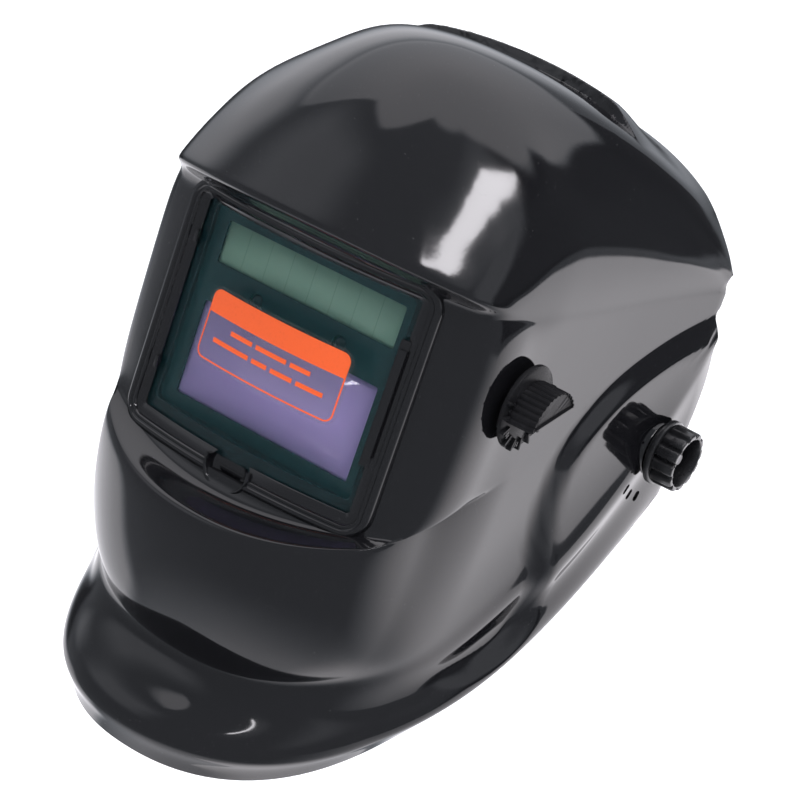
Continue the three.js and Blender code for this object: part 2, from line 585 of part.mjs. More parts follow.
// ---- pivots ----
const ARM = { x0: 100, x1: 102.8 };
const WASHER_R = 12;
const BOLT_END = 122.6;
const SQUARE = 4.4; // half side of the arm's square holes
const INNER_STACK = { x0: 104.7, x1: 106.3 }; // the spacer on the left, the angle stop on the right
function flutedKnob(r, { count, depth }, start, end) {
  const shape = new THREE.Shape();
  const steps = count * 4;
  for (let i = 0; i < steps; i++) {
    const turn = (i * 2 * Math.PI) / steps;
    const reach = r - (i % 4 === 0 ? depth : i % 4 === 2 ? 0 : depth * 0.25);
    const [y, z] = [reach * Math.cos(turn), reach * Math.sin(turn)];
    if (i === 0) shape.moveTo(y, z);
    else shape.lineTo(y, z);
  }
  return slabX(shape, start, end, 1);
}
const KNOB = { back: 112.9, end: 126.4, r: 14, flange: 15, web: 2.2, bowl: 10.6, hub: 8 };
const NUT = { across: 10, x0: 115.4, x1: 120.4 };
const KNOB_FLUTES = { count: 12, depth: 1.3 };
function tensionKnob() {
  let body = solid(flutedKnob(KNOB.r, KNOB_FLUTES, KNOB.back, KNOB.end));
  body = body.add(solid(rodX(KNOB.flange, KNOB.back, KNOB.back + 1.4, 0, 0, 36)));
  const hub = solid(rodX(KNOB.hub, KNOB.back, NUT.x1, 0, 0, 32));
  body = body.subtract(solid(rodX(KNOB.bowl, KNOB.back + KNOB.web, KNOB.end + 1, 0, 0, 36))).add(hub);
  body = body.subtract(solid(hexX(NUT.across + 2 * GAP, NUT.x0 - GAP, KNOB.end, 0, 0)));
  return body.subtract(solid(rodX(BOLT_R + 0.4, KNOB.back - 1, KNOB.end, 0, 0)));
}
function tensionNut() {
  const bore = rodX(BOLT_R + 0.1, NUT.x0 - 1, NUT.x1 + 1, 0, 0);
  return solid(hexX(NUT.across, NUT.x0, NUT.x1, 0, 0)).subtract(solid(bore));
}
function pivotBolt() {
  const head = [
    [0, 96.9], [3.5, 97.1], [7, 98.1], [8.4, 99.1], [8.4, 99.7], [BOLT_R, 99.7],
    [BOLT_R, BOLT_END - 0.6], [BOLT_R - 0.6, BOLT_END], [0, BOLT_END],
  ];
  const neck = SQUARE - GAP;
  return solid(turnedX(head, 0, 0)).add(solid(box(99.5, ARM.x1 - 0.1, -neck, neck, -neck, neck)));
}
function ring(rIn, rOut, x0, x1) {
  return solid(rodX(rOut, x0, x1, 0, 0, 32)).subtract(solid(rodX(rIn, x0 - 1, x1 + 1, 0, 0)));
}
const STOP_PLATE_R = 11;
const STOP_LEG = { top: 5, foot: 3.5, length: 26 };
function angleStop() {
  const { x0, x1 } = INNER_STACK;
  const turn = THREE.MathUtils.degToRad(STOP_ANGLES[1]);
  const [y, z] = [STOP_ARC_R * Math.cos(turn), STOP_ARC_R * Math.sin(turn)];
  const leg = new THREE.Shape();
  leg.moveTo(-STOP_LEG.top, 0);
  leg.lineTo(STOP_LEG.top, 0);
  leg.lineTo(STOP_LEG.foot, -STOP_LEG.length);
  leg.lineTo(-STOP_LEG.foot, -STOP_LEG.length);
  const plate = solid(slabX(leg, x0, x1).rotateX(turn + Math.PI / 2));
  const arm = plate.subtract(solid(rodX(BOLT_R + 3, x0 - 1, x1 + 1, 0, 0)));
  const peg = solid(rodX(STOP_SLOT.r - 0.2, x1 - GAP, PIVOT_FACE - 0.4, y, z, 10));
  return ring(BOLT_R + 0.5, STOP_PLATE_R, x0, x1).add(arm).add(peg);
}
const ARM_PLATE = { back: 34, front: -22, low: -14, high: 12, r: 8 };
const ARM_FOOT = { x0: 85.8, x1: 88.2, front: 2, low: -16, high: 4 };
const ARM_WEB = 4; // two webs, front to back this thick, join the plate to its foot
const ARM_HOLES = [-12, 0, 12];
function headgearArm() {
  const { back, front, low, high, r } = ARM_PLATE;
  const foot = ARM_FOOT;
  let body = solid(slabX(roundedRect(front, back, low, high, r), ARM.x0, ARM.x1));
  for (const y of [back - 3 * ARM_WEB, back - ARM_WEB]) {
    body = body.add(solid(box(foot.x1 - GAP, ARM.x0 + 1, y, y + ARM_WEB, low, foot.high)));
  }
  body = body.add(solid(box(foot.x0, foot.x1, foot.front, back, foot.low, foot.high)));
  for (const y of ARM_HOLES) {
    body = body.subtract(solid(box(ARM.x0 - 5, ARM.x1 + 5, y - SQUARE, y + SQUARE, -SQUARE, SQUARE)));
  }
  return body;
}
function bothSides(name, made, material) {
  add(`${name}_left`, made, material());
  add(`${name}_right`, made.mirror([1, 0, 0]), material());
}
bothSides("tension_knob", tensionKnob(), satinBlack);
bothSides("tension_nut", tensionNut(), steel);
bothSides("pivot_bolt", pivotBolt(), steel);
const washer = (x0, x1) => ring(BOLT_R + 0.5, WASHER_R, x0, x1);
bothSides("outer_washer", washer(PIVOT_FACE + GAP, KNOB.back - GAP), satinBlack);
bothSides("friction_washer", washer(ARM.x1 + GAP, INNER_STACK.x0 - GAP), mattBlack);
add("spacer_washer_left", washer(INNER_STACK.x0, INNER_STACK.x1), mattBlack());
add("angle_stop_right", angleStop().mirror([1, 0, 0]), satinBlack());
bothSides("headgear_arm", headgearArm(), satinBlack);

// ---- headgear band ----
const BAND_FRAME = new THREE.Matrix4().makeRotationX(BAND_TILT).setPosition(BAND_CENTRE);
function inBandFrame(made) {
  return geometryOf(made).applyMatrix4(BAND_FRAME);
}
// Front half of an oval ring with straight tails, drawn in plan.
function frontArc(a, b, thick, fromTurn, tail) {
  const shape = new THREE.Shape();
  const steps = 28;
  const outer = [];
  const inner = [];
  for (let i = 0; i <= steps; i++) {
    const turn = fromTurn + ((Math.PI - 2 * fromTurn) * i) / steps;
    outer.push([-(a + thick) * Math.cos(turn), -(b + thick) * Math.sin(turn)]);
    inner.push([-a * Math.cos(turn), -b * Math.sin(turn)]);
  }
  const start = tail ? [[-a, tail], [-(a + thick), tail]] : [];
  const finish = tail ? [[a + thick, tail], [a, tail]] : [];
  const path = [...start, ...outer, ...finish, ...inner.reverse()];
  path.forEach(([x, y], i) => (i ? shape.lineTo(x, y) : shape.moveTo(x, y)));
  return shape;
}
const BAND_TAIL = 20;
const BAND_HALF = 13;
const PEG = { r: 2, x0: 79.4, x1: 84 };
const BROW_SLOTS = { turns: [-24, -8, 8, 24], x: 4.5, z: 5 };
function headband() {
  let body = solid(slabZ(frontArc(BAND_A, BAND_B, BAND_T, 0, BAND_TAIL), -BAND_HALF, BAND_HALF));
  for (const side of [1, -1]) {
    const [x0, x1] = side > 0 ? [PEG.x0, PEG.x1] : [-PEG.x1, -PEG.x0];
    const peg = rodX(PEG.r, x0, x1, 0, 0, 14);
    body = body.add(solid(peg));
  }
  for (const turn of BROW_SLOTS.turns) {
    const slot = box(-BROW_SLOTS.x, BROW_SLOTS.x, -BAND_B - 15, -BAND_B + 15, -BROW_SLOTS.z, BROW_SLOTS.z);
    body = body.subtract(solid(slot.rotateZ(THREE.MathUtils.degToRad(turn))));
  }
  return body;
}
add("headband_front", inBandFrame(headband()), satinBlack());
const SWEAT = { thick: 5, half: 16, from: 0.5, clear: 0.5 };
function sweatband({ thick, half, from, clear }) {
  const inset = thick + clear;
  return solid(slabZ(frontArc(BAND_A - inset, BAND_B - inset, thick, from, 0), -half, half));
}
add("sweatband", inBandFrame(sweatband(SWEAT)), foam());
// Part of a ring about the band's centre, angles in degrees from the rear towards the left.
function arcRing(r0, r1, from, to, low, high) {
  const shape = new THREE.Shape();
  const steps = Math.max(2, Math.ceil(Math.abs(to - from) / 5));
  const at = (r, k) => {
    const turn = ((from + ((to - from) * k) / steps) * Math.PI) / 180;
    return [r * Math.sin(turn), r * Math.cos(turn)];
  };
  shape.moveTo(...at(r0, 0));
  for (let k = 1; k <= steps; k++) shape.lineTo(...at(r0, k));
  for (let k = steps; k >= 0; k--) shape.lineTo(...at(r1, k));
  return slabZ(shape, low, high);
}
// Angles in degrees from the middle of the nape: the rack runs past it, and the full width starts at the next.
const STRAP = { half: 11, past: 19.5, teeth: 18.5, full: 49, end: 95, pegHole: 3.4 };
const RACK_ROOT = PINION_R + TOOTH.ded;
const PITCH = (2 * Math.PI * PINION_R) / PINION_TEETH;
// The left strap's rack runs over the pinion; the right one is the same turned half a turn.
function leftStrap() {
  const [r0, r1] = [STRAP_R - STRAP_T / 2, STRAP_R + STRAP_T / 2];
  let body = solid(arcRing(r0, r1, -STRAP.past, STRAP.end, -STRAP.half, STRAP.half));
  const below = arcRing(r0 - 1, r1 + 1, -STRAP.past - 2, STRAP.full, -STRAP.half - 1, RACK_ROOT);
  body = body.subtract(solid(below));
  const tooth = new THREE.Shape();
  const [tip, foot] = [TOOTH.half - TOOTH.flank, TOOTH.half + TOOTH.flank];
  tooth.moveTo(-foot, RACK_ROOT + 0.2);
  tooth.lineTo(-tip, PINION_R - TOOTH.add);
  tooth.lineTo(tip, PINION_R - TOOTH.add);
  tooth.lineTo(foot, RACK_ROOT + 0.2);
  const pitchTurn = PITCH / STRAP_R;
  const teeth = Math.floor(THREE.MathUtils.degToRad(STRAP.teeth) / pitchTurn);
  for (let i = -teeth; i < teeth; i++) {
    const g = slabY(tooth, r0 + 0.05, r1 - 0.05).rotateZ(-(i + 0.5) * pitchTurn);
    body = body.add(solid(g));
  }
  return body.subtract(solid(rodX(STRAP.pegHole, 70, 90, 0, 0, 18)));
}
const strap = leftStrap();
add("rear_strap_left", inBandFrame(strap), satinBlack());
add("rear_strap_right", inBandFrame(strap.rotate([0, 180, 0])), satinBlack());

const HOUSING = { half: 14, turn: 37, rail: 11.4, front: [78.7, 80.7], rim: [81, 84], back: [83.3, 85.3] };
const KNOB_SHAFT = { pilot: 2.6, r: 4 };
function housingRing([r0, r1], low, high) {
  return solid(arcRing(r0, r1, -HOUSING.turn, HOUSING.turn, low, high));
}
function housingFront() {
  const hole = rodY(KNOB_SHAFT.pilot + 0.4, STRAP_R - 10, STRAP_R + 10, 0, 0, 18);
  return housingRing(HOUSING.front, -HOUSING.half, HOUSING.half).subtract(solid(hole));
}
function housingBack() {
  let body = housingRing(HOUSING.back, -HOUSING.half, HOUSING.half);
  body = body.add(housingRing(HOUSING.rim, HOUSING.rail, HOUSING.half));
  body = body.add(housingRing(HOUSING.rim, -HOUSING.half, -HOUSING.rail));
  return body.subtract(solid(rodY(KNOB_SHAFT.r + 0.4, STRAP_R - 10, STRAP_R + 10, 0, 0, 20)));
}
add("ratchet_housing_front", inBandFrame(housingFront()), satinBlack());
add("ratchet_housing_back", inBandFrame(housingBack()), satinBlack());
const PINION = { y0: 81.1, y1: 82.9, rootHalf: 0.85, tipHalf: 0.3 };
function pinion() {
  const shape = new THREE.Shape();
  const root0 = PINION_R - TOOTH.ded;
  const tip = PINION_R + TOOTH.add;
  const { rootHalf, tipHalf } = PINION;
  for (let i = 0; i < PINION_TEETH; i++) {
    const middle = ((i + 1) * 2 * Math.PI) / PINION_TEETH + Math.PI / 2;
    const corners = [[root0, -rootHalf], [tip, -tipHalf], [tip, tipHalf], [root0, rootHalf]];
    corners.forEach(([r, across], k) => {
      const turn = middle + across / r;
      const [x, z] = [r * Math.cos(turn), r * Math.sin(turn)];
      if (i === 0 && k === 0) shape.moveTo(x, z);
      else shape.lineTo(x, z);
    });
  }
  const bore = rodY(KNOB_SHAFT.pilot + GAP, PINION.y0 - 1, PINION.y1 + 1, 0, 0, 16);
  return solid(slabY(shape, PINION.y0, PINION.y1)).subtract(solid(bore));
}
add("ratchet_pinion", inBandFrame(pinion()), plastic(0xd8d8d4, 0.5));
const RATCHET_KNOB = { r: 20, back: 85.9, end: 99, rim: 4, dish: 2, bar: 2 };
const RATCHET_FLUTES = { count: 16, depth: 1.5 };
function ratchetKnob() {
  const { r, back, end, rim, dish, bar } = RATCHET_KNOB;
  const { pilot } = KNOB_SHAFT;
  const grip = solid(flutedKnob(r, RATCHET_FLUTES, back, end)).rotate([0, 0, 90]);
  const step = PINION.y1 + GAP;
  const foot = HOUSING.front[0] + 0.5;
  const shaft = [
    [0, foot], [pilot, foot], [pilot, step],
    [KNOB_SHAFT.r, step], [KNOB_SHAFT.r, back + 1], [0, back + 1],
  ];
  const g = new THREE.LatheGeometry(shaft.map(([a, b]) => new THREE.Vector2(a, b)), 20);
  const reach = r - rim + 1;
  const thumbBar = box(-reach, reach, end - dish - 1, end + 1, -bar, bar);
  return grip.subtract(solid(rodY(r - rim, end - dish, end + 1, 0, 0, 32))).add(solid(g)).add(solid(thumbBar));
}
add("ratchet_knob", inBandFrame(ratchetKnob()), satinBlack());
const NAPE = { r0: 72.8, r1: 78.3, turn: 27, half: 16 };
const napePad = solid(arcRing(NAPE.r0, NAPE.r1, -NAPE.turn, NAPE.turn, -NAPE.half, NAPE.half));
add("nape_pad", inBandFrame(napePad), foam());

// ---- crown straps ----
const CROWN = { z: 5, a: 86.4, b: 107, t: 1.6, y0: -22, y1: -2, past: 8, foot: -2, step: 2.1 };
const CROWN_HOLES = { r: 2.8, x: [0, 9, 18] };
function crownStrap(b) {
  const shape = new THREE.Shape();
  const steps = 18;
  const top = Math.PI / 2 + (CROWN.past * Math.PI) / 180;
  const arc = (grow) =>
    Array.from({ length: steps + 1 }, (_, i) => {
      const turn = (top * i) / steps;
      return [(CROWN.a + grow) * Math.cos(turn), CROWN.z + (b + grow) * Math.sin(turn)];
    });
  const path = [[CROWN.a, CROWN.foot], [CROWN.a + CROWN.t, CROWN.foot], ...arc(CROWN.t), ...arc(0).reverse()];
  path.forEach(([x, z], i) => (i ? shape.lineTo(x, z) : shape.moveTo(x, z)));
  let body = solid(slabY(shape, CROWN.y0, CROWN.y1));
  const { r } = CROWN_HOLES;
  const hole = new THREE.CylinderGeometry(r, r, 40, 14).rotateX(Math.PI / 2);
  const middle = (CROWN.y0 + CROWN.y1) / 2;
  for (const x of CROWN_HOLES.x) {
    body = body.subtract(solid(hole.clone().translate(x, middle, CROWN.z + b)));
  }
  return body;
}
add("crown_strap_left", crownStrap(CROWN.b), satinBlack());
add("crown_strap_right", crownStrap(CROWN.b - CROWN.step).mirror([1, 0, 0]), satinBlack());
const CROWN_PEG = { shank: 2.4, head: 6, below: 6.4, thick: 1.6 };
function crownPeg() {
  const top = CROWN.z + CROWN.b + CROWN.t;
  const { shank, head, below, thick } = CROWN_PEG;
  const profile = [
    [0, top - below], [shank, top - below], [shank, top + GAP],
    [head, top + GAP], [head, top + thick], [0, top + thick + 0.2],
  ];
  const g = new THREE.LatheGeometry(profile.map(([r, z]) => new THREE.Vector2(r, z)), 18);
  return g.rotateX(Math.PI / 2).translate(0, (CROWN.y0 + CROWN.y1) / 2, 0);
}
add("crown_strap_peg", crownPeg(), satinBlack());

export default root;
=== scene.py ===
"""Looks of an auto-darkening welding helmet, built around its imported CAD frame.

The helmet's lengths are millimetres, and every mesh is scaled to metres as it is made. The camera's,
floor's and lamps' are metres. Angles in the tables are degrees.
"""
import json
import math

import bmesh
import bpy
import numpy as np
from mathutils import Matrix, Vector


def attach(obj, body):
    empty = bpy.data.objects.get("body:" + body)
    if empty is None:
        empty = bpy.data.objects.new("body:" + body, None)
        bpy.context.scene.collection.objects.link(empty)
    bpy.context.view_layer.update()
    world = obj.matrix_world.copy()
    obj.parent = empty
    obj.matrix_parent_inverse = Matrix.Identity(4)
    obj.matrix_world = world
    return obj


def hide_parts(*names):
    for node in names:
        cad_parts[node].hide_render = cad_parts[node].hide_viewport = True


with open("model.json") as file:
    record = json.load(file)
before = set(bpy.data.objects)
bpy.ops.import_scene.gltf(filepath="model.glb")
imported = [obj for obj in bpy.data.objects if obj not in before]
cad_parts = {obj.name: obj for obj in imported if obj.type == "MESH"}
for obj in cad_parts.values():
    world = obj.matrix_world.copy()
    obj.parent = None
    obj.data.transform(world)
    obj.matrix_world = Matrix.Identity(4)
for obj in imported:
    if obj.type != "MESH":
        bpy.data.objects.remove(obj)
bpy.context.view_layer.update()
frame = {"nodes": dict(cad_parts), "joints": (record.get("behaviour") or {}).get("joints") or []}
MM = 0.001
NODES = frame["nodes"]
JOINTS = {joint["name"]: joint for joint in frame["joints"]}


def joint_place(name):
    return Vector(JOINTS[name]["pos_m"]) / MM


# ---------------------------------------------------------------- camera
# The camera stands off the window's left corner, a little above, and is rolled as the helmet leans.
CAMERA = {"target": (0.0567, -0.140, 0.0085), "azimuth": 28.2, "elevation": 15.1,
          "roll": 19.35, "distance": 0.96, "lens": 108}


def make_camera():
    data = bpy.data.cameras.new("camera")
    data.lens = CAMERA["lens"]
    data.sensor_width = 36
    data.clip_start = 0.01
    data.clip_end = 200
    camera = bpy.data.objects.new("camera", data)
    bpy.context.scene.collection.objects.link(camera)
    azimuth, elevation, roll = (math.radians(CAMERA[k]) for k in ("azimuth", "elevation", "roll"))
    back = Vector((math.sin(azimuth) * math.cos(elevation),
                   -math.cos(azimuth) * math.cos(elevation), math.sin(elevation)))
    right = Vector((math.cos(azimuth), math.sin(azimuth), 0))
    up = back.cross(right)
    across = right * math.cos(roll) + up * math.sin(roll)
    along = up * math.cos(roll) - right * math.sin(roll)
    place = Vector(CAMERA["target"]) + back * CAMERA["distance"]
    camera.matrix_world = Matrix([(*row, place[i]) for i, row in
                                  enumerate(zip(across, along, back))] + [(0, 0, 0, 1)])
    bpy.context.scene.camera = camera


# ---------------------------------------------------------------- node helpers
class Nodes:
    """Short calls for building a node tree."""

    def __init__(self, tree):
        self.tree = tree

    def new(self, kind, **settings):
        node = self.tree.nodes.new(kind)
        for key, value in settings.items():
            setattr(node, key, value)
        return node

    def put(self, socket, value):
        if isinstance(value, bpy.types.NodeSocket):
            self.tree.links.new(value, socket)
        else:
            socket.default_value = value

    def maths(self, operation, first, second=0.0):
        node = self.new("ShaderNodeMath", operation=operation)
        self.put(node.inputs[0], first)
        self.put(node.inputs[1], second)
        return node.outputs[0]

    def plus(self, first, second):
        return self.maths("ADD", first, second)

    def minus(self, first, second):
        return self.maths("SUBTRACT", first, second)

    def times(self, first, second):
        return self.maths("MULTIPLY", first, second)

    def axes(self, vector):
        node = self.new("ShaderNodeSeparateXYZ")
        self.put(node.inputs[0], vector)
        return node.outputs[:3]

    def ramp(self, value, low, high, to_low=0.0, to_high=1.0, smooth=True):
        node = self.new("ShaderNodeMapRange")
        node.interpolation_type = "SMOOTHSTEP" if smooth else "LINEAR"
        for socket, given in zip(node.inputs, (value, low, high, to_low, to_high)):
            self.put(socket, given)
        return node.outputs[0]

    def mix(self, share, first, second):
        node = self.new("ShaderNodeMix", data_type="RGBA")
        self.put(node.inputs["Factor"], share)
        self.put(node.inputs[6], first)
        self.put(node.inputs[7], second)
        return node.outputs[2]


class Surface(Nodes):
    """A Principled material, and short calls for textures over the object's own coordinates in metres."""

    def __init__(self, name):
        self.material = bpy.data.materials.new(name)
        self.material.use_nodes = True
        super().__init__(self.material.node_tree)
        self.shader = next(node for node in self.tree.nodes if node.type == "BSDF_PRINCIPLED")
        self.place = self.new("ShaderNodeTexCoord").outputs["Object"]

    def noise(self, scale, detail=3.0, roughness=0.5, vector=None):
        node = self.new("ShaderNodeTexNoise")
        for socket, value in (("Scale", scale), ("Detail", detail), ("Roughness", roughness),
                              ("Vector", self.place if vector is None else vector)):
            self.put(node.inputs[socket], value)
        return node.outputs[0]

    def streaks(self, scale, turn=(0, 0, 0), detail=2.0, roughness=0.5):
        """Noise stretched by a scale of its own along each axis."""
        node = self.new("ShaderNodeMapping")
        for socket, value in (("Scale", scale), ("Rotation", turn), ("Vector", self.place)):
            self.put(node.inputs[socket], value)
        return self.noise(1.0, detail, roughness, node.outputs[0])

    def bump(self, height, strength, distance, normal=None):
        node = self.new("ShaderNodeBump")
        for socket, value in (("Strength", strength), ("Distance", distance), ("Height", height)):
            self.put(node.inputs[socket], value)
        if normal is not None:
            self.put(node.inputs["Normal"], normal)
        return node.outputs[0]

    def look(self, colour, rough, normal=None, others=()):
        """Sets the shader's sockets and gives the finished material."""
        for socket, value in (("Base Color", colour), ("Roughness", rough), ("Normal", normal), *others):
            if value is not None:
                self.put(self.shader.inputs[socket], value)
        return self.material


def linear(red, green, blue):
    """A colour given as it is seen on a screen, 0 to 255."""
    def one(value):
        share = value / 255
        return share / 12.92 if share <= 0.04045 else ((share + 0.055) / 1.055) ** 2.4
    return (one(red), one(green), one(blue), 1)


def grey(level, bluer=0.0):
    return (level, level, level + bluer, 1)


def darker(colour, share):
    return (*(share * channel for channel in colour[:3]), 1)


# ---------------------------------------------------------------- materials
def gloss_shell():
    """Black moulded shell: faint flow marks, hairline scratches, dust specks and a light haze."""
    n = Surface("gloss_black_shell")
    dust = n.ramp(n.noise(1500, 1), 0.76, 0.79)
    haze = n.ramp(n.noise(18, 4, 0.6), 0.3, 0.75, 0.045, 0.085)
    hair = n.ramp(n.streaks((60, 1400, 400), (0.4, 0.2, 0.9)), 0.73, 0.76)
    rough = n.plus(n.plus(haze, n.times(hair, 0.05)), n.times(dust, 0.35))
    colour = n.mix(n.times(dust, 0.35), grey(0.0052, 0.001), grey(0.12))
    flow = n.bump(n.noise(40, 2), 0.04, 0.001)
    grain = n.bump(n.noise(420, 2), 0.02, 0.0002, flow)
    return n.look(colour, rough, n.bump(hair, 0.03, 0.0001, grain), [("IOR", 1.52)])


def moulded(name, colour, light, rough=(0.3, 0.45), grain=0.12, grain_scale=2600, sheen=0.5):
    """Moulded plastic: spark-eroded grain, blotchy sheen, and a paler bloom where it's handled."""
    n = Surface(name)
    patches = n.ramp(n.noise(55, 4, 0.6), 0.3, 0.7, *rough)
    bloom = n.ramp(n.noise(130, 5, 0.7), 0.45, 0.8)
    scuffs = n.ramp(n.streaks((90, 1700, 500), (0.3, 0.8, 0.2)), 0.7, 0.75)
    fine = n.bump(n.noise(grain_scale, 2), grain, 0.0002)
    return n.look(n.mix(n.times(bloom, 0.45), colour, light), patches, n.bump(scuffs, 0.08, 0.0001, fine),
                  [("Specular IOR Level", sheen)])


def plated(name, colour, rough):
    """Zinc-plated steel: turned lines, patchy passivation."""
    n = Surface(name)
    patches = n.noise(160, 5, 0.65)
    lines = n.streaks((4000, 300, 300))
    return n.look(n.mix(patches, colour, darker(colour, 0.75)),
                  n.ramp(patches, 0.3, 0.7, rough, rough + 0.15),
                  n.bump(lines, 0.12, 0.0001), [("Metallic", 1)])


def clear_plate(name, tint, alpha, rough=0.03):
    """Clear moulded plate with faint smears."""
    n = Surface(name)
    smear = n.streaks((30, 30, 90), (0, 0.5, 0), 4, 0.6)
    return n.look(tint, n.ramp(smear, 0.35, 0.75, rough, rough + 0.05), n.bump(n.noise(60, 2), 0.015, 0.0005),
                  [("Alpha", alpha)])


def filter_glass():
    """Violet filter stack: a mirror-smooth face over a soft, uneven tint."""
    n = Surface("filter_violet")
    cloud = n.noise(22, 3, 0.5)
    return n.look(n.mix(cloud, linear(196, 172, 246), linear(212, 190, 250)), 0.03,
                  n.bump(cloud, 0.01, 0.0005), [("IOR", 1.75)])


def solar_film():
    """Solar strip: a dark grey-green film with fine vertical cell lines."""
    cell = 11.6 * MM
    n = Surface("solar_film")
    along = n.maths("FRACT", n.times(n.axes(n.place)[0], 1 / cell))
    line = n.ramp(n.maths("ABSOLUTE", n.minus(along, 0.5)), 0.482, 0.49)
    cloud = n.noise(30, 3, 0.5)
    film = n.mix(cloud, linear(146, 186, 164), linear(164, 200, 178))
    return n.look(n.mix(n.times(line, 0.35), film, linear(70, 96, 84)), n.ramp(cloud, 0.3, 0.7, 0.12, 0.2))


def printed_film(name, ink):
    n = Surface(name)
    specks = n.noise(900, 3, 0.6)
    return n.look(n.mix(n.ramp(specks, 0.5, 0.9, 0.0, 0.35), ink, darker(ink, 0.6)),
                  n.ramp(specks, 0.3, 0.7, 0.3, 0.5), n.bump(specks, 0.1, 0.0001))


def terry(name, colour, light, loops=1500):
    """Looped towelling: small raised loops with painted shade in the gaps between them, brushed fibres and a
    soft sheen.
    """
    n = Surface(name)
    cells = n.new("ShaderNodeTexVoronoi")
    n.put(cells.inputs["Scale"], loops)
    n.put(cells.inputs["Vector"], n.place)
    away = cells.outputs["Distance"]
    worn = n.noise(60, 4, 0.6)
    height = n.minus(n.times(n.noise(3200, 3, 0.7), 0.5), away)
    # Painted shade: the colour is pale on the raised loop tops and darker in the gaps between the loops.
    painted_loop_shade = n.mix(n.ramp(away, 0.1, 0.8), light, colour)
    return n.look(n.mix(n.ramp(worn, 0.4, 0.8, 0.0, 0.4), painted_loop_shade, light), n.ramp(worn, 0.3, 0.7, 0.85, 0.97),
                  n.bump(height, 0.7, 0.0006), [("Sheen Weight", 0.35), ("Sheen Roughness", 0.5)])


def circuit_green():
    n = Surface("circuit_green")
    tracks = n.ramp(n.streaks((500, 500, 120), detail=1), 0.5, 0.53)
    return n.look(n.mix(tracks, linear(22, 74, 44), linear(40, 104, 62)), n.ramp(tracks, 0, 1, 0.35, 0.5),
                  n.bump(tracks, 0.2, 0.0001))


def thread(name, colour):
    n = Surface(name)
    ply = n.streaks((2500, 2500, 2500))
    return n.look(n.mix(ply, colour, darker(colour, 0.5)), n.ramp(ply, 0.3, 0.7, 0.6, 0.9),
                  n.bump(ply, 0.5, 0.0002))


# ---------------------------------------------------------------- mesh helpers
class Shape:
    """Points in millimetres and the faces between them."""

    def __init__(self, points=(), faces=()):
        self.points = [tuple(p) for p in points]
        self.faces = [tuple(f) for f in faces]

    def __add__(self, other):
        shift = len(self.points)
        return Shape(self.points + other.points,
                     self.faces + [tuple(i + shift for i in face) for face in other.faces])

    def moved(self, matrix):
        flip = matrix.to_3x3().determinant() < 0
        return Shape([matrix @ Vector(p) for p in self.points],
                     [face[::-1] if flip else face for face in self.faces])

    def at(self, x, y, z):
        return self.moved(Matrix.Translation((x, y, z)))


MIRROR = Matrix.Scale(-1, 4, (1, 0, 0))


def rings(loops, caps=True):
    """Quads between closed loops of equal length, with a face across each end if caps is true."""
    count = len(loops[0])
    points = [p for loop in loops for p in loop]
    faces = []
    for i in range(len(loops) - 1):
        for j in range(count):
            k = (j + 1) % count
            faces.append((i * count + j, i * count + k, (i + 1) * count + k, (i + 1) * count + j))
    if caps:
        last = (len(loops) - 1) * count
        faces.append(tuple(range(count))[::-1])
        faces.append(tuple(range(last, last + count)))
    return Shape(points, faces)


def loop_rings(loops):
    """Rings whose last loop joins the first, as round a picture frame."""
    shape = rings(loops + [loops[0]], caps=False)
    count = len(loops[0])
    size = len(loops) * count
    return Shape(shape.points[:size], [tuple(i % size for i in face) for face in shape.faces])


def turned(profile, segments=64):
    """A turned body about X. The profile is (radius, x) pairs, and a radius of 0 closes an end."""
    loops = []
    for r, x in profile:
        r = max(r, 1e-4)
        loops.append([(x, r * math.cos(t), r * math.sin(t)) for t in turns(segments)])
    return rings(loops)


def turns(count, start=0.0, end=2 * math.pi):
    return [start + (end - start) * i / count for i in range(count)]


def arc(x, y, r, start, sweep, steps):
    """Points along an arc, its angles in degrees."""
    angles = [math.radians(start + sweep * k / steps) for k in range(steps + 1)]
    return [(x + r * math.cos(t), y + r * math.sin(t)) for t in angles]


def circle_at(x, r, angles):
    """A round loop about the X axis."""
    return [(x, r * math.cos(t), r * math.sin(t)) for t in angles]


def outline_at(x, outline, inset=0.0):
    """A (y, z) outline as a loop at x, drawn in towards the X axis."""
    return [(x, y * (1 - inset / math.hypot(y, z)), z * (1 - inset / math.hypot(y, z))) for y, z in outline]


def sided(shape, side):
    """A shape made for the left, mirrored if the side is -1."""
    return shape if side > 0 else shape.moved(MIRROR)


def facing_out(shape):
    """A bmesh of the shape with every face turned outwards."""
    mesh = bmesh.new()
    points = [mesh.verts.new(p) for p in shape.points]
    for face in shape.faces:
        mesh.faces.new([points[i] for i in face])
    bmesh.ops.recalc_face_normals(mesh, faces=mesh.faces)
    return mesh


def mesh_data(name, shape, weld=0.0):
    """Mesh data in metres, with points closer than weld millimetres joined."""
    mesh = facing_out(shape)
    if weld:
        bmesh.ops.remove_doubles(mesh, verts=mesh.verts, dist=weld)
    data = bpy.data.meshes.new(name)
    mesh.to_mesh(data)
    mesh.free()
    data.transform(Matrix.Scale(MM, 4))
    return data


def place_object(name, data, material=None):
    obj = bpy.data.objects.new(name, data)
    bpy.context.scene.collection.objects.link(obj)
    if material:
        data.materials.append(material)
    return obj


def stand_in(obj, body, node):
    """Puts an object on a body, in place of a CAD node."""
    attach(obj, body)
    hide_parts(node)


def piece(name, shape, material, body, node, bevel=0.0, flat=30):
    """A mesh object from a shape, riding on a body and standing for a CAD node."""
    obj = place_object(name, mesh_data(name, shape, weld=1e-4), material)
    finish_surface(obj, bevel, flat)
    stand_in(obj, body, node)
    return obj


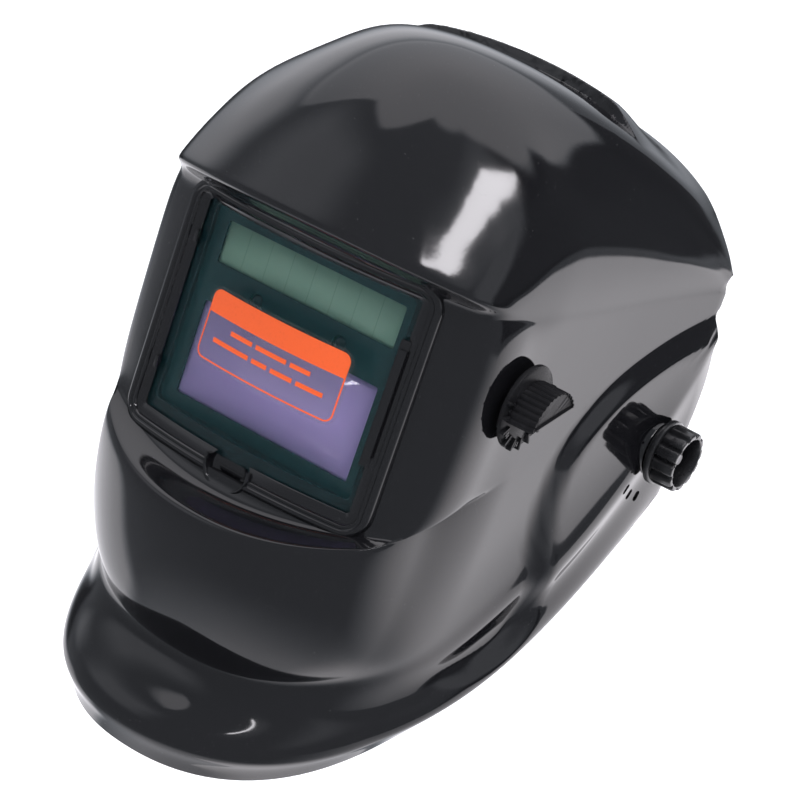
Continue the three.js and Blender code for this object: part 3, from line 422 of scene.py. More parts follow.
def finish_surface(obj, bevel=0.0, flat=30):
    """Smooth shading, with either rounded edges or sharp ones where the faces turn quickly."""
    obj.data.shade_smooth()
    if bevel:
        edge = obj.modifiers.new("edges", "BEVEL")
        edge.width = bevel * MM
        edge.segments = 2
        edge.limit_method = "ANGLE"
        edge.angle_limit = math.radians(flat)
        edge.use_clamp_overlap = True
        weighted = obj.modifiers.new("weighted", "WEIGHTED_NORMAL")
        weighted.keep_sharp = True
    else:
        obj.data.set_sharp_from_angle(angle=math.radians(flat))


def dress(node, material, bevel=0.2, flat=30):
    """A better surface on a CAD node whose shape is right."""
    obj = NODES[node]
    obj.data.materials.clear()
    obj.data.materials.append(material)
    for polygon in obj.data.polygons:
        polygon.material_index = 0
    if "custom_normal" in obj.data.attributes:
        obj.data.attributes.remove(obj.data.attributes["custom_normal"])
    weld = obj.modifiers.new("weld", "WELD")
    weld.merge_threshold = 0.01 * MM
    finish_surface(obj, bevel, flat)


# ---------------------------------------------------------------- shell surface
WALL = 2.2
REAR_HALF_WIDTH = 108
PANEL_RISE = 3.6
DOME_DROP = 2
COWL = {"rise": 5.4, "front": -35, "half": 69, "back": 9, "step": 0.8, "flat": 6, "edge": 22,
        "z": (100, 120)}
WINDOW_R = 200
WINDOW_FRONT = -158
PLAN = {"panel_end": 86, "corner": (98, 24), "side_start": (99.5, 44), "side_bow": (105, 100), "ref": 110}
SIDE = {"from": -112, "x": 90.5, "slope": 0.089, "bow": 0.0004, "taken_up": (-128, -92)}
PANEL_AREA = {"x": (80, 100), "y": (-140, -105), "half_step": 5}
NORMAL_SPAN = 24
RIM_TURN = 62
# Sections from the lower rim over the face to the rear arch: reach forward, squareness, half width,
# height at the centre, at the corner, on the side, at the rear, reach of the rear edge, share of the
# window's plan, share of the common side wall.
SECTIONS = np.array([
    (165, 2.2, 98, -175, -164, -106, -24, 19, 0, 0),  # lower rim
    (170, 2.1, 107, -167, -154, -103, -18, 20, 0, 0),
    (175, 2.2, 106, -162, -156, -98, -4, 22, 0, 0),  # chin lip
    (172, 2.3, 101, -152, -145, -86, 16, 25, 0, 0),
    (161, 2.3, 103, -144, -128, -80, 34, 24, 0, 0),
    (153, 2.4, 108, -135, -107, -72, 46, 19, 0, 0),  # groove over the lip
    (153, 2.4, 104, -129, -103, -54, 50, 19, 0.1, 0.2),
    (160, 2.7, 98, -118, -98, -25, 56, 19, 0.3, 0.5),  # snout
    (170, 2.7, 94, -95, -76, -2, 60, 19, 0.5, 0.9),
    (176, 2.6, 92, -72, -48, 12, 62, 19, 0.6, 1),
    (176, 2.5, 91, -64, -34, 17, 63, 19, 0.65, 1),  # ledge under the window
    (173, 2.5, 91, -63, -32, 20, 64, 19.5, 0.7, 1),
    (160, 2.8, 95, -58, -21, 25, 65, 20, 0.9, 1),
    (156, 3.1, 98, -53, -16, 29, 66, 20, 1, 1),
    (156, 3.2, 100, -36, -8, 36, 67, 20, 1, 1),  # window panel
    (156, 3.3, 101, 6, 17, 48, 69, 20, 1, 1),
    (157, 3.4, 101, 50, 45, 62, 71, 20, 1, 1),
    (158, 3.1, 97, 59, 46, 68, 72, 20, 0.95, 1),
    (171, 2.7, 97, 64, 48, 71, 73, 20, 0.75, 0.7),  # brow lip
    (170, 2.5, 98, 68, 50, 74, 73.5, 20, 0.72, 0.6),
    (165, 2.4, 100, 77, 61, 77, 74, 20, 0.62, 0.45),
    (152, 2.2, 102, 103, 87, 84, 75, 20, 0.34, 0.2),  # brow and crown
    (127, 1.95, 100, 130, 111, 93, 76, 20.3, 0, 0),
    (92, 1.85, 98, 147, 126, 96, 77, 20.8, 0, 0),
    (45, 2, 100, 140, 125, 95, 78, 21.5, 0, 0),
    (2, 2.1, 104, 130, 114, 89, 79, 22.5, 0, 0),
    (-17, 2.3, 106, 128, 107, 82, 80, 23.5, 0, 0),  # rear arch
])
# Edge of the raised pivot panel, (y, z), from the chin groove up and back to the rear notch.
PANEL_EDGE = ((-150, -128), (-118, -117), (-88, -110), (-66, -103), (-52, -90), (-49, -70), (-56, -44),
              (-59, -22), (-56, -2), (-44, 17), (-28, 32), (-2, 48), (26, 60))


def smooth(low, high, value):
    t = np.clip((value - low) / (high - low), 0, 1)
    return t * t * (3 - 2 * t)


def blend_sections(v):
    """The section at station v, on a cubic B-spline that the table's rows steer."""
    table = np.vstack([2 * SECTIONS[0] - SECTIONS[1], SECTIONS, 2 * SECTIONS[-1] - SECTIONS[-2]])
    i = min(int(v), len(SECTIONS) - 2)
    t = v - i
    weights = np.array([(1 - t) ** 3, 3 * t ** 3 - 6 * t ** 2 + 4,
                        -3 * t ** 3 + 3 * t ** 2 + 3 * t + 1, t ** 3]) / 6
    return weights @ table[i:i + 4]


def quadratic(a, b, c, t):
    return (1 - t) ** 2 * a + 2 * t * (1 - t) * b + t ** 2 * c


def window_plan(tau, rear_x, depth):
    """Plan of the window's level: an arc across the front, a tight corner and a gentle side."""
    panel_to, corner_to = 0.42, 0.58
    end = PLAN["panel_end"]
    sag = end ** 2 / (2 * WINDOW_R)
    (cx, cy), (sx, sy), (bx, by) = PLAN["corner"], PLAN["side_start"], PLAN["side_bow"]
    front = tau / panel_to * end
    t = np.clip((tau - panel_to) / (corner_to - panel_to), 0, 1)
    s = np.clip((tau - corner_to) / (1 - corner_to), 0, 1)
    x = np.where(tau < panel_to, front, np.where(tau < corner_to, quadratic(end, cx, sx, t),
                                                 quadratic(sx, bx, rear_x, s)))
    y = np.where(tau < panel_to, front ** 2 / (2 * WINDOW_R),
                 np.where(tau < corner_to, quadratic(sag, cy, sy, t), quadratic(sy, by, depth, s)))
    return x, y


def panel_edge_line(steps=120):
    """The panel's edge as a smooth line through its points."""
    points = np.array([PANEL_EDGE[0], *PANEL_EDGE, PANEL_EDGE[-1]], float)
    line = []
    for u in np.linspace(0, len(PANEL_EDGE) - 1, steps):
        i = min(int(u), len(PANEL_EDGE) - 2)
        t = u - i
        a, b, c, d = points[i:i + 4]
        line.append(0.5 * (2 * b + (c - a) * t + (2 * a - 5 * b + 4 * c - d) * t ** 2
                           + (3 * b - a - 3 * c + d) * t ** 3))
    return np.array(line)


EDGE_LINE = panel_edge_line()


def beyond_panel_edge(y, z):
    """Signed distance of points from the panel's edge, positive on the pivot's side."""
    start = EDGE_LINE[:-1]
    step = EDGE_LINE[1:] - start
    dy = y[:, None] - start[:, 0]
    dz = z[:, None] - start[:, 1]
    t = np.clip((dy * step[:, 0] + dz * step[:, 1]) / (step ** 2).sum(1), 0, 1)
    away = np.hypot(dy - t * step[:, 0], dz - t * step[:, 1])
    nearest = away.argmin(1)
    every = np.arange(len(y))
    side = dy[every, nearest] * step[nearest, 1] - dz[every, nearest] * step[nearest, 0]
    return away[every, nearest] * np.where(side < 0, -1, 1)


def shell_row(v, tau):
    """Points of one row of the shell's left half, from the centre line to the rear edge."""
    reach, n, half_width, z0, z1, z2, z3, rear, share, settle = blend_sections(v)
    across = np.sin(tau * math.pi / 2) ** (2 / n)
    back = 1 - np.maximum(np.cos(tau * math.pi / 2), 0) ** (2 / n)
    depth = rear + reach
    x = across * (half_width + (REAR_HALF_WIDTH - half_width) * back ** 2)
    y = depth * back - reach
    scale = half_width / PLAN["ref"]
    px, py = window_plan(tau, REAR_HALF_WIDTH / scale, depth)
    x = x + (px * scale - x) * share
    y = y + (py - reach - y) * share
    run = y - SIDE["from"]
    wall = SIDE["x"] + SIDE["slope"] * run + SIDE["bow"] * run ** 2
    x = x + (wall - x) * settle * smooth(*SIDE["taken_up"], y)
    back = (y + reach) / depth
    front = 1 - back
    z = front ** 3 * z0 + 3 * back * front ** 2 * z1 + 3 * back ** 2 * front * z2 + back ** 3 * z3
    sideways = smooth(*PANEL_AREA["x"], x) * smooth(*PANEL_AREA["y"], y)
    raised = smooth(-PANEL_AREA["half_step"], PANEL_AREA["half_step"], beyond_panel_edge(y, z))
    x = x + sideways * ((PANEL_RISE + DOME_DROP) * raised - DOME_DROP)
    step = smooth(COWL["front"] - COWL["step"], COWL["front"] + COWL["step"], y)
    fade = 1 - smooth(COWL["front"] + COWL["flat"], COWL["back"], y)
    inside = 1 - smooth(COWL["half"] - COWL["edge"], COWL["half"], x)
    z = z + COWL["rise"] * step * fade * inside * smooth(*COWL["z"], z)
    return np.stack([x, y, z], 1)


ROWS_PER_SECTION = 9
COWL_ROWS = (23.3, 24.9, 8)  # finer rows from, to, and how many times finer
HALF_COLUMNS = 90


def row_stations():
    """Stations of the grid's rows, closer together where the cowl's edge crosses them."""
    low, high, finer = COWL_ROWS
    stations = [0.0]
    while stations[-1] < len(SECTIONS) - 1 - 1e-6:
        step = 1 / ROWS_PER_SECTION
        if low - step / 2 < stations[-1] < high:
            step /= finer
        stations.append(min(stations[-1] + step, len(SECTIONS) - 1))
    return stations


def shell_grid():
    tau = np.linspace(0, 1, HALF_COLUMNS + 1)
    rows = []
    for v in row_stations():
        half = shell_row(v, tau)
        other = half[1:][::-1] * (-1, 1, 1)
        rows.append(np.vstack([other, half]))
    return np.array(rows)


def grid_normals(grid, rows_each_way):
    count = len(grid)
    up = grid[np.minimum(np.arange(count) + rows_each_way, count - 1)]
    down = grid[np.maximum(np.arange(count) - rows_each_way, 0)]
    columns = grid.shape[1]
    right = grid[:, np.minimum(np.arange(columns) + 2, columns - 1)]
    left = grid[:, np.maximum(np.arange(columns) - 2, 0)]
    normals = np.cross(right - left, up - down)
    return normals / np.maximum(np.linalg.norm(normals, axis=2, keepdims=True), 1e-9)


def thick_shell():
    """The shell's wall as one closed shape, its free edges still square."""
    outer = shell_grid()
    normals = grid_normals(outer, NORMAL_SPAN)
    inner = outer - normals * WALL
    rows, columns, _ = outer.shape
    index = np.arange(rows * columns).reshape(rows, columns)
    shift = rows * columns
    quads = np.stack([index[:-1, :-1], index[:-1, 1:], index[1:, 1:], index[1:, :-1]], -1).reshape(-1, 4)
    faces = [tuple(q) for q in quads.tolist()]
    faces += [tuple(i + shift for i in q[::-1]) for q in faces]
    border = [*index[0], *index[1:, -1], *index[-1, -2::-1], *index[-2:0:-1, 0]]
    for a, b in zip(border, border[1:] + border[:1]):
        a, b = int(a), int(b)
        faces.append((b, a, a + shift, b + shift))
    return Shape(np.vstack([outer.reshape(-1, 3), inner.reshape(-1, 3)]), faces)


def rounded_rect(half_x, low, high, r, sides=(30, 20), corner=8):
    """Outline points (x, z) of a rounded window, the same count for every size."""
    side = half_x - r
    centres = ((side, low + r, -90), (side, high - r, 0), (-side, high - r, 90), (-side, low + r, 180))
    bends = [arc(x, z, r, start, 90, corner) for x, z, start in centres]
    points = []
    for i, bend in enumerate(bends):
        (x0, z0), (x1, z1) = bend[-1], bends[(i + 1) % 4][0]
        count = sides[(i + 1) % 2]
        points += bend
        points += [(x0 + (x1 - x0) * k / count, z0 + (z1 - z0) * k / count) for k in range(1, count)]
    return points


def grown(outline, by):
    """(half x, low, high, r) made larger by a distance."""
    half_x, low, high, r = outline
    return half_x + by, low - by, high + by, max(r + by, 0.3)


def on_window(points, depth):
    """Outline points laid on the window's cylinder, a depth behind its face."""
    radius = WINDOW_R - depth
    return [(x, WINDOW_FRONT + WINDOW_R - math.sqrt(radius ** 2 - x ** 2), z) for x, z in points]


# Window outlines: half width, low and high edge, corner radius.
BEZEL = (63, -50, 57, 9)
LENS = (57.5, -44, 55, 4)
FRONT_OPENING = (55, -42.3, 51, 1.4)
REAR_OPENING = (52, -38, 50, 2)
NOTCH = (10, -54.5, -40, 7)
NOTCH_TOP = -44.05
STOP_ARC_R = 23.5
STOP_ANGLES = (-126, -109, -92)
CUT_FRONT, CUT_BACK = -185, -120
SIDE_CUT = (90, 120)
BOLT_HOLE_R = 3.6
DIAL_HOLE_R = 4
EDGE_ROUND = 0.85
# The seat's profile as (radius, x), from the bolt hole out and back.
PIVOT_SEAT = ((3.7, 103.8), (11.6, 103.8), (12.6, 105), (12.6, 110.2), (12.3, 110.8), (11.7, 111), (3.7, 111))
SLOT = {"r": 1.5, "half_wide": 0.4, "half_tall": 1.0, "from": 104, "to": 116}
SIDES = ((1, "left"), (-1, "right"))


def cut(obj, shape, flat, solver="MANIFOLD"):
    """Cuts a closed shape out of a piece's mesh, and shades the piece anew."""
    tool = place_object("cutter", mesh_data("cutter", shape))
    modifier = obj.modifiers.new("cut", "BOOLEAN")
    modifier.operation = "DIFFERENCE"
    modifier.solver = solver
    modifier.object = tool
    depsgraph = bpy.context.evaluated_depsgraph_get()
    data = bpy.data.meshes.new_from_object(obj.evaluated_get(depsgraph))
    obj.modifiers.remove(modifier)
    old = obj.data
    obj.data = data
    bpy.data.meshes.remove(old)
    bpy.data.objects.remove(tool)
    finish_surface(obj, flat=flat)


def window_block(outline, y0=CUT_FRONT, y1=CUT_BACK):
    points = rounded_rect(*outline)
    return rings([[(x, y, z) for x, z in points] for y in (y0, y1)])


def stop_slot(angle, side):
    """A short upright slot on the arc under the pivot."""
    turn = math.radians(angle)
    y, z = STOP_ARC_R * math.cos(turn), STOP_ARC_R * math.sin(turn)
    outline = []
    for t in turns(20, 0.01):
        up = math.sin(t)
        outline.append((y + SLOT["r"] * math.cos(t) + math.copysign(SLOT["half_wide"], up),
                        z + SLOT["r"] * up + math.copysign(SLOT["half_tall"], up)))
    return rings([[(side * x, a, b) for a, b in outline] for x in (SLOT["from"], SLOT["to"])])


def make_shell(material, dial):
    obj = piece("helmet_shell", thick_shell(), material, "shell_unit", "shell")
    mesh = bmesh.new()
    mesh.from_mesh(obj.data)
    rim = [e for e in mesh.edges if len(e.link_faces) == 2 and e.calc_face_angle() > math.radians(RIM_TURN)]
    bmesh.ops.bevel(mesh, geom=rim, offset=EDGE_ROUND * MM, segments=3, affect="EDGES", profile=0.5)
    mesh.to_mesh(obj.data)
    mesh.free()
    tools = window_block(BEZEL) + turned([(DIAL_HOLE_R, 80), (DIAL_HOLE_R, 110)], 32).at(0, *dial[1:])
    for side, name in SIDES:
        piece(f"pivot_seat_{name}", sided(turned(PIVOT_SEAT), side), material, "shell_unit", "shell", flat=38)
        tools += turned([(BOLT_HOLE_R, side * x) for x in SIDE_CUT], 32)
        for angle in STOP_ANGLES:
            tools += stop_slot(angle, side)
    cut(obj, tools, flat=42)


# ---------------------------------------------------------------- window
# The bezel's section: an outline, how far outside it, and the depth behind the window's face.
BEZEL_STEPS = (
    (BEZEL, 2.2, 4.2), (BEZEL, 2.2, 1.2), (BEZEL, 1.9, 0.55), (BEZEL, 1.2, 0.15), (BEZEL, 0.3, 0.0),
    (BEZEL, -0.5, 0.2), (BEZEL, -0.9, 0.75), (BEZEL, -1.3, 0.95), (BEZEL, -1.9, 0.75),
    (BEZEL, -2.6, 0.85), (BEZEL, -3.0, 1.3), (BEZEL, -3.3, 2.0),
    (FRONT_OPENING, 2.2, 2.7), (FRONT_OPENING, 0.8, 3.4), (FRONT_OPENING, 0.15, 3.8),
    (FRONT_OPENING, 0, 4.2), (LENS, 0.3, 4.25), (LENS, 0.3, 6.0), (REAR_OPENING, 0.4, 6.0),
    (REAR_OPENING, 0, 6.3), (REAR_OPENING, 0, 8.8), (BEZEL, 2.2, 8.8),
)
NOTCH_STEPS = ((1.9, 7.4), (1.9, 3.6), (1.9, 0.9), (1.6, 0.2), (1.1, -0.15), (0.6, 0.0), (0.15, 0.6),
               (0, 1.4), (-0.2, 3.0), (-0.8, 4.2), (-2.4, 5.0), (-4.6, 5.9))
# Lens clips: x from and to, low and high, near and far depth.
CLIPS = ((-56.4, -54.2, 31.5, 36.5, 1.7, 4.2), (-56.4, -54.2, -25.5, -20.5, 1.7, 4.2),
         (52.6, 57, -21.2, 34, 2.6, 4.3), (53.6, 57, -17, 30, 1.5, 4.3))


def make_bezel(material):
    """The stepped frame round the window, moulded in one with the shell."""
    loops = [on_window(rounded_rect(*grown(outline, by)), depth) for outline, by, depth in BEZEL_STEPS]
    obj = piece("window_bezel", loop_rings(loops), material, "shell_unit", "shell")
    half_x, low, _, r = grown(NOTCH, 0.6)
    cut(obj, window_block((half_x, low, -40, r), y1=WINDOW_FRONT + 5.6), flat=38)


def make_notch(material):
    """The thumb notch under the lens: a rounded lip, a wall and a floor that falls to the lens."""
    loops = [on_window(rounded_rect(*grown(NOTCH, by), (16, 12)), depth) for by, depth in NOTCH_STEPS]
    obj = piece("thumb_notch", rings(loops), material, "shell_unit", "shell")
    cut(obj, window_block((20, NOTCH_TOP, -20, 1)), flat=38)


def plate_on_window(x0, x1, low, high, near, far, r=0.6):
    """A small raised plate on the window's cylinder, its near edge rounded."""
    middle = (x0 + x1) / 2
    loops = []
    for by, depth in ((0, far), (0, near + 0.35), (-0.12, near + 0.1), (-0.35, near)):
        outline = rounded_rect(*grown(((x1 - x0) / 2, low, high, r), by), (8, 4), 4)
        loops.append(on_window([(x + middle, z) for x, z in outline], depth))
    return rings(loops)


def make_clips(material):
    """Snap lugs on the opening's inner wall, and the long clip over the lens on its other side."""
    shape = sum((plate_on_window(*clip) for clip in CLIPS), Shape())
    piece("lens_clips", shape, material, "shell_unit", "shell")


def sheet_on_window(outline, near, thick, columns=60, rows=24):
    """A thin curved plate with rounded corners."""
    half_x, low, high, r = outline
    grid = []
    for i in range(rows + 1):
        s = i / rows
        z = low + (high - low) * s
        inset = r - math.sqrt(max(r * r - max(0, r - (z - low), r - (high - z)) ** 2, 0))
        grid.append([((half_x - inset) * (2 * j / columns - 1), z) for j in range(columns + 1)])
    front = [p for row in grid for p in on_window(row, near)]
    back = [p for row in grid for p in on_window(row, near + thick)]
    count = columns + 1
    shift = len(front)
    faces = []
    for i in range(rows):
        for j in range(columns):
            a = i * count + j
            faces.append((a, a + 1, a + 1 + count, a + count))
            faces.append((a + count + shift, a + 1 + count + shift, a + 1 + shift, a + shift))
    border = ([(0, j) for j in range(columns)] + [(i, columns) for i in range(rows)]
              + [(rows, j) for j in range(columns, 0, -1)] + [(i, 0) for i in range(rows, 0, -1)])
    edge = [i * count + j for i, j in border]
    for a, b in zip(edge, edge[1:] + edge[:1]):
        faces.append((b, a, a + shift, b + shift))
    return Shape(front + back, faces)


FILM = (36, -11, 19.2, 4)
HEADER_LOW = 8.9
# Rows of printed bars: a height, and where each bar starts and ends.
FILM_BARS = ((4.6, ((-21, -9), (-7, 9), (11, 21))), (-1.4, ((-29, -9), (-7, 1), (3, 14), (16, 29))))
FILM_DEPTH = 3.95
INK = 0.12


def make_film(ink, clear):
    """The protective film's generic print: a solid header over an outlined box with plain bars."""
    half_x, low, high, r = FILM
    parts = header_plate(FILM, HEADER_LOW) + band_on_window((half_x, low, high - 0.3, r), 0.7)
    for z, spans in FILM_BARS:
        for x0, x1 in spans:
            parts += bar_on_window(x0, x1, z)
    piece("film_print", parts, ink, "shell_unit", "film_label")
    sheet = sheet_on_window(grown(FILM, 1.5), FILM_DEPTH + 0.14, 0.1)
    piece("film_sheet", sheet, clear, "shell_unit", "film_label")


def band_on_window(outline, width):
    """A thin printed line along an outline."""
    outer = rounded_rect(*outline)
    inner = rounded_rect(*grown(outline, -width))
    back = FILM_DEPTH + INK
    return loop_rings([on_window(outer, FILM_DEPTH), on_window(inner, FILM_DEPTH),
                       on_window(inner, back), on_window(outer, back)])


def printed_columns(columns):
    """A print between pairs of points, foot and top, given along its length."""
    back = FILM_DEPTH + INK
    return rings([on_window(column, FILM_DEPTH) + on_window(column, back)[::-1] for column in columns])


def header_plate(outline, foot, count=48):
    """A printed band whose two upper corners are rounded."""
    half_x, _, high, r = outline
    columns = []
    for k in range(count + 1):
        x = half_x * math.sin(math.pi * (k / count - 0.5))
        top = high - r + math.sqrt(max(r * r - max(0, abs(x) - half_x + r) ** 2, 0))
        columns.append([(x, foot), (x, top)])
    return printed_columns(columns)


def bar_on_window(x0, x1, z, half=1.0):
    """A short plain bar, printed where a line of small print would be."""
    count = max(4, int((x1 - x0) / 1.5))
    across = [x0 + (x1 - x0) * k / count for k in range(count + 1)]
    return printed_columns([[(x, z - half), (x, z + half)] for x in across])


# ---------------------------------------------------------------- knobs
KNOB = {"back": 112.9, "end": 126.4, "r": 14.0, "flange": 15.0, "web": 2.2, "bowl": 10.6, "hub_end": 120.3,
        "nut_seat": 115.3, "nut_r": 6.1, "bolt_r": 3.5}
DIAL_SEAT = 93
SKIRT_R = 18.4
# The skirt's profile as (radius, distance off the dial's seat).
SKIRT = ((7.4, 0.5), (16.9, 0.5), (17.9, 0.7), (SKIRT_R, 1.3), (SKIRT_R, 2.4), (18.15, 2.8), (17.6, 3.0),
         (16.6, 3.3), (4, 4.3), (4, 2), (7.4, 2))
GRIP = {"r": 16, "end": 16, "turn": 19, "middle": 0.32, "corner": 16, "chord": 28}
NUMBER = {"first": 9, "count": 5, "size": 3.0, "r": 15.4, "off_seat": 4.1}
MARK_STEP = 22


def lobed(r, lobes, depth, sharp, per_lobe=14):
    """A knob's fluted outline: broad lobes with narrow grooves between them."""
    outline = []
    for t in turns(lobes * per_lobe):
        groove = (0.5 + 0.5 * math.cos(lobes * t)) ** sharp
        outline.append(((r - depth * groove) * math.cos(t), (r - depth * groove) * math.sin(t)))
    return outline


def make_tension_knob(side, name, material):
    """A fluted clamp knob with a flange, a deep bowl and a hub that holds the nut."""
    k = KNOB
    back, end, web, hub = k["back"], k["end"], k["back"] + k["web"], k["hub_end"]
    flutes = lobed(k["r"], 12, 1.9, 4.0)
    angles = [math.atan2(z, y) for y, z in flutes]
    rim = ((back + 3.0, 0.5), (back + 3.2, 0.2), (back + 3.6, 0), (end - 1.1, 0.12),
           (end - 0.5, 0.3), (end - 0.15, 0.6), (end, 1.0))
    bowl = ((end, 11.9), (end - 0.1, 11.5), (end - 0.6, 11.2), (end - 6, 10.9), (web + 0.8, k["bowl"]),
            (web + 0.1, 9.9), (web, 8.4), (web + 0.3, 8.05), (hub - 0.9, 7.8), (hub - 0.2, 7.5), (hub, 7.0),
            (hub, 6.35), (hub - 0.3, 6.15), (k["nut_seat"], k["nut_r"]), (k["nut_seat"], k["bolt_r"]))
    foot = ((back, k["bolt_r"]), (back, 14.5), (back + 0.2, 14.85), (back + 0.6, k["flange"]),
            (back + 2.3, k["flange"]), (back + 2.7, 14.85), (back + 2.95, 14.4))
    loops = [outline_at(x, flutes, inset) for x, inset in rim]
    loops += [circle_at(x, r, angles) for x, r in bowl + foot]
    piece(f"tension_knob_{name}_moulding", sided(loop_rings(loops), side), material, f"{name}_knob",
          f"tension_knob_{name}", flat=40)


def grip_outline(r, ridges=15, depth=0.7):
    """A round segment, ribbed along its curved side, with a flat chord between sharp corners."""
    points = []
    count = ridges * 8
    corner = math.radians(GRIP["corner"])
    for k in range(count + 1):
        t = corner + (math.pi - 2 * corner) * k / count
        rib = depth * (0.5 - 0.5 * math.cos(2 * math.pi * ridges * k / count)) ** 0.7
        reach = (r - depth + rib) / math.cos(corner)
        points.append((reach * math.cos(t), reach * math.sin(t) - r * math.tan(corner)))
    left, right, chord = points[-1][0], points[0][0], GRIP["chord"]
    points += [(left + (right - left) * k / chord, 0) for k in range(1, chord)]
    return points


def make_shade_knob(material, paint, centre):
    """The shade knob: a stepped skirt with raised marks and numbers, and a ribbed half-round grip."""
    outline = grip_outline(GRIP["r"])
    middle = GRIP["r"] * GRIP["middle"]
    end = GRIP["end"]

    def level(x, inset):
        """The grip's outline at a height off the seat, drawn in towards its middle and a little up."""
        size = 1 - inset / GRIP["r"]
        return [(x, y * size, middle + (z - middle) * size + inset * 0.2) for y, z in outline]
    grip = rings([level(x, inset) for x, inset in (
        (3.4, 0), (4.0, 0), (end - 1.5, 0.1), (end - 0.55, 0.35), (end - 0.1, 0.6), (end, 0.85),
        (end - 0.05, 1.35), (end - 0.7, 1.5), (end - 0.95, 2.0))])
    hub = turned([(0, 3.5), (5.2, 3.5), (5.2, 8.4), (4.8, 8.8), (0, 8.8)], 40)
    shape = turned(SKIRT, 96) + grip + hub
    for turn in range(150, 371, MARK_STEP):
        shape += tick(math.radians(turn))
    place = Matrix.Translation((DIAL_SEAT, *centre[1:])) @ Matrix.Rotation(math.radians(GRIP["turn"]), 4, "X")
    piece("shade_knob_moulding", shape.moved(place), material, "shade_control", "shade_knob", flat=38)
    for i in range(NUMBER["count"]):
        skirt_number(str(NUMBER["first"] + i), math.radians(161 + 2 * MARK_STEP * i), place, paint)


def tick(turn):
    """A raised radial mark on the skirt, with rounded ends."""
    outline = ((13.6, -0.5), (18.2, -0.6), (18.7, 0), (18.2, 0.6), (13.6, 0.5), (13.2, 0))
    loops = []
    for x, grow in ((2.2, 1.15), (4.35, 1.1), (4.6, 0.8)):
        loops.append([(x, r * math.cos(turn) - s * grow * math.sin(turn),
                       r * math.sin(turn) + s * grow * math.cos(turn)) for r, s in outline])
    return rings(loops)


def skirt_number(text, turn, place, material):
    """A raised generic number on the skirt, read from outside."""
    curve = bpy.data.curves.new("skirt_number_" + text, "FONT")
    curve.body = text
    curve.size = NUMBER["size"] * MM
    curve.extrude = 0.16 * MM
    curve.bevel_depth = 0.04 * MM
    curve.align_x = "CENTER"
    curve.align_y = "CENTER"
    obj = place_object("skirt_number_" + text, curve, material)
    stand = Matrix(((0, 0, 1, 0), (1, 0, 0, 0), (0, 1, 0, 0), (0, 0, 0, 1)))
    spin = Matrix.Rotation(turn - math.pi / 2, 4, "X")
    local = place @ spin @ Matrix.Translation((NUMBER["off_seat"], 0, NUMBER["r"])) @ stand
    obj.matrix_world = Matrix.Scale(MM, 4) @ local @ Matrix.Scale(1 / MM, 4)
    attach(obj, "shade_control")


# ---------------------------------------------------------------- headgear
BAND_CENTRE = (0, 14, -6)
BAND_FRAME = Matrix.Translation(BAND_CENTRE) @ Matrix.Rotation(math.radians(-20), 4, "X")
BAND = {"a": 83.4, "b": 113, "t": 1.8, "tail": 20, "half": 13}
BAND_SLOTS = (-24, -8, 8, 24)
PAD = {"inset": 3.2, "half": 15.6, "seam": 2.6, "columns": 26}
STITCH = {"row": 12.9, "first": 4.0, "pitch": 3.4, "length": 2.3, "r": 0.28}
HOUSING = {"turn": 37, "half": 14, "lip": 11.4}
RATCHET = {"r": 20, "back": 85.9, "end": 99}
STRAP_R = 82


def oval_path(a, b, tail=0.0, steps=120, start=0.0):
    """Front half of an oval in plan with straight tails, from right to left: points and outward normals."""
    path = []
    if tail:
        path += [(-a, tail * (1 - k / 6), -1, 0) for k in range(6)]
    for k in range(steps + 1):
        t = start + (math.pi - 2 * start) * k / steps
        nx, ny = -math.cos(t) / a, -math.sin(t) / b
        size = math.hypot(nx, ny)
        path.append((-a * math.cos(t), -b * math.sin(t), nx / size, ny / size))
    if tail:
        path += [(a, tail * k / 6, 1, 0) for k in range(1, 7)]
    return path


def arc_path(r, start, end, steps=None):
    """An arc about the band's centre: angles in degrees from the nape towards the left."""
    steps = steps or max(8, int(abs(end - start) / 1.5))
    path = []
    for k in range(steps + 1):
        t = math.radians(start + (end - start) * k / steps)
        path.append((r * math.sin(t), r * math.cos(t), math.sin(t), math.cos(t)))
    return path


def rounded_section(half, thick, low=None, steps=4):
    """A flat bar's section with rounded edges: (outward, height) pairs."""
    r = thick * 0.45
    low = -half if low is None else low
    out, top, foot = thick / 2 - r, half - r, low + r
    points = []
    for x, z, start in ((out, top, 0), (-out, top, 90), (-out, foot, 180), (out, foot, 270)):
        points += arc(x, z, r, start, 90, steps)
    return points


def ribbon(path, section_at):
    """A strip swept along a plan path. section_at(share) gives the section there."""
    loops = []
    last = len(path) - 1
    for i, (x, y, nx, ny) in enumerate(path):
        loops.append([(x + o * nx, y + o * ny, z) for o, z in section_at(i / last)])
    return rings(loops)


def strip(path, half, thick, low=None):
    section = rounded_section(half, thick, low)
    return ribbon(path, lambda _: section)


def slot_block(x, y0, y1, z, turn=0.0):
    """A rounded-end block for cutting a slot through a band at an angle from straight ahead."""
    outline = rounded_rect(x, -z, z, min(x, z) * 0.7, (4, 4), 5)
    block = rings([[(a, y, b) for a, b in outline] for y in (y0, y1)])
    return block.moved(Matrix.Rotation(math.radians(turn), 4, "Z"))


def make_headband(material):
    mid = BAND["t"] / 2
    band = strip(oval_path(BAND["a"] + mid, BAND["b"] + mid, BAND["tail"]), BAND["half"], BAND["t"])
    obj = piece("headband_strip", band.moved(BAND_FRAME), material, "headgear", "headband_front")
    slots = sum((slot_block(4.5, -130, -96, 5, turn) for turn in BAND_SLOTS), Shape())
    cut(obj, slots.moved(BAND_FRAME), flat=40)
    for side, name in SIDES:
        stud = sided(turned([(0, 79.4), (1.4, 79.4), (2.0, 79.9), (2.0, 84.5)], 24), side)
        piece(f"headband_stud_{name}", stud.moved(BAND_FRAME), material, "headgear", "headband_front")


